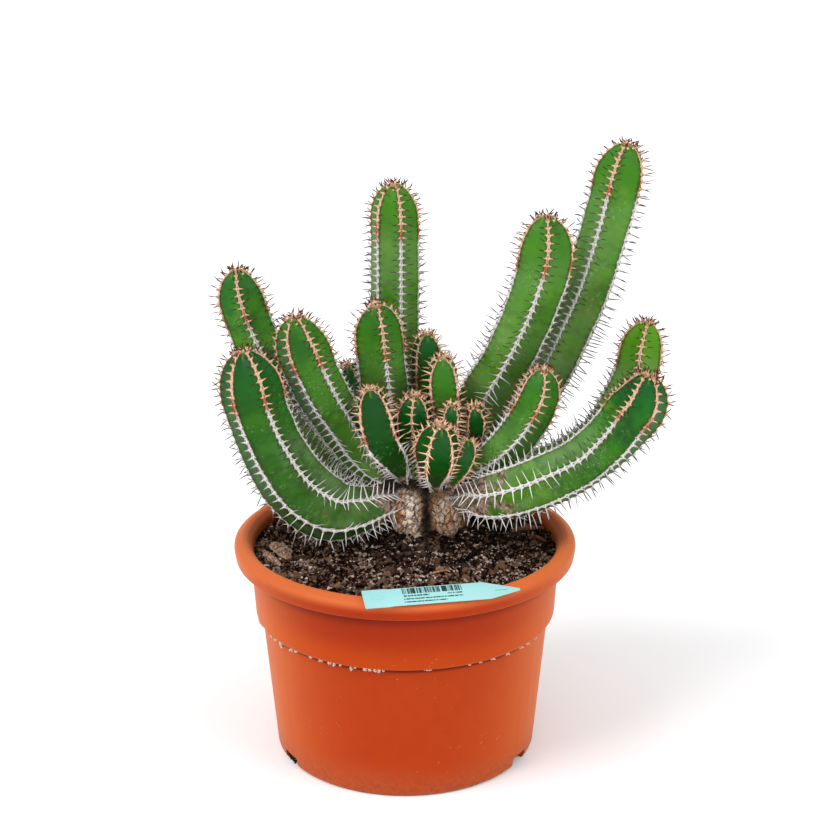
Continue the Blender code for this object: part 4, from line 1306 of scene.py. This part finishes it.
def makeLabel():
    shape = bmesh.new()
    uv = shape.loops.layers.uv.new("strip")
    face = shape.faces.new([shape.verts.new((u * mm, v * mm, 0)) for u, v in label["outline"]])
    extruded = bmesh.ops.extrude_face_region(shape, geom=[face])
    for item in extruded["geom"]:
        if isinstance(item, bmesh.types.BMVert):
            item.co.z += label["thick"] * mm
    bmesh.ops.recalc_face_normals(shape, faces=shape.faces)
    edges = [e for e in shape.edges if abs(e.verts[0].co.z - e.verts[1].co.z) < 1e-7]
    bmesh.ops.bevel(shape, geom=edges, offset=0.12 * mm, segments=2, affect="EDGES", profile=0.7)
    for face in shape.faces:
        for loop in face.loops:
            loop[uv].uv = (loop.vert.co.x, loop.vert.co.y)
    mesh = meshOf("stick_label", shape)
    place, yaw, tilt = (radians(label[key]) for key in ("place", "yaw", "tilt"))
    rest, high = label["rest"], label["rimTop"] + label["lift"]
    crest = Vector((sin(place) * rest, -cos(place) * rest, high))
    turning = Euler((tilt, 0, yaw)).to_matrix()
    centre = (crest + turning @ Vector((0, label["offset"], 0))) * mm
    mesh.transform(turning.to_4x4())
    mesh.transform(Matrix.Translation(centre))
    mesh.materials.append(makeLabelMaterial())
    smoothShade(mesh, 40)
    return finishPiece(link("stick_label", mesh), "label_plastic", "label")


makeLabel()
print("label done")


# Loose pieces on the soil: x, y, lift and radius in mm
loose = {
    "wood_chip": (0.5, 0.9, woodMaterial, (
        (-73, -0.5, 0.6, 2), (-70.5, -8, 0.6, 4.4), (-66.5, -16, 0.6, 4), (-63.5, -22.5, 0.6, 1.6))),
    "bark_shred": (0.55, 0.8, woodMaterial, (
        (-78, -9, 0.6, 1.1), (-75.8, -16.5, 0.6, 2.3), (-71, -24.5, 0.6, 2.2), (-67, -30, 0.6, 0.9))),
    "twig_left": (1, 0.3, twigMaterial, (
        (60, 17, 0.6, 1.2), (68, 20, 1.3, 1.4), (75, 22.5, 1, 1.3), (80, 24.5, 0.6, 0.9))),
    "twig_right": (1, 0.3, twigMaterial, ((70, 11.5, 0.6, 1), (75, 8, 0.8, 1.2), (79, 4, 0.6, 0.8))),
    "straw": (1, 0.1, strawMaterial, (
        (15.3, -43.3, 0.6, 0.7), (19.5, -41.5, 1, 0.7), (23.4, -39.3, 0.6, 0.6))),
}


def evenSoil(x, y):
    return soil["edge"] + soil["mound"] * (1 - (x * x + y * y) / soil["radius"] ** 2)


def makeLoose(name, flat, ragged, material, rows):
    rings, sides = 40, 18
    rng = random.Random(name)
    corners = [1 + ragged * rng.uniform(-0.35, 0.15) for _ in range(sides)]
    spots = []
    for k in range(rings + 1):
        t = k / rings * (len(rows) - 1)
        a = min(int(t), len(rows) - 2)
        x, y, lift, radius = (p + (q - p) * (t - a) for p, q in zip(rows[a], rows[a + 1]))
        radius *= 1 + ragged * 0.3 * noise.noise(Vector((k * 0.35, radius, 5)))
        spots.append((Vector((x, y, evenSoil(x, y) + lift + radius * flat)), radius))
    points = []
    for k, (spot, radius) in enumerate(spots):
        along = (spots[min(k + 1, rings)][0] - spots[max(k - 1, 0)][0]).normalized()
        side = along.cross(Vector((0, 0, 1))).normalized()
        up = side.cross(along)
        for j in range(sides):
            angle = 2 * pi * j / sides
            fleck = noise.noise(Vector((j * 1.3, k * 0.22, radius))) * (0.12 + ragged * 0.3)
            reach = radius * (corners[j] + fleck)
            end = 1 if k in (0, 1, rings - 1, rings) else 0
            jag = along * ragged * 1.6 * noise.noise(Vector((j * 2.1, 3, 0))) * end
            points.append(spot + jag + side * cos(angle) * reach + up * sin(angle) * reach * flat)
    faces = tubeFaces(rings, sides)
    faces.append(tuple(reversed(range(sides))))
    faces.append(tuple(range(rings * sides, rings * sides + sides)))
    mesh = newMesh(name + "_piece", [p * mm for p in points], faces)
    outward(mesh)
    smoothShade(mesh, 24)
    mesh.materials.append(material)
    return finishPiece(link(name + "_piece", mesh), "dry_wood", name)


for name, values in loose.items():
    makeLoose(name, *values)
print("loose pieces done")
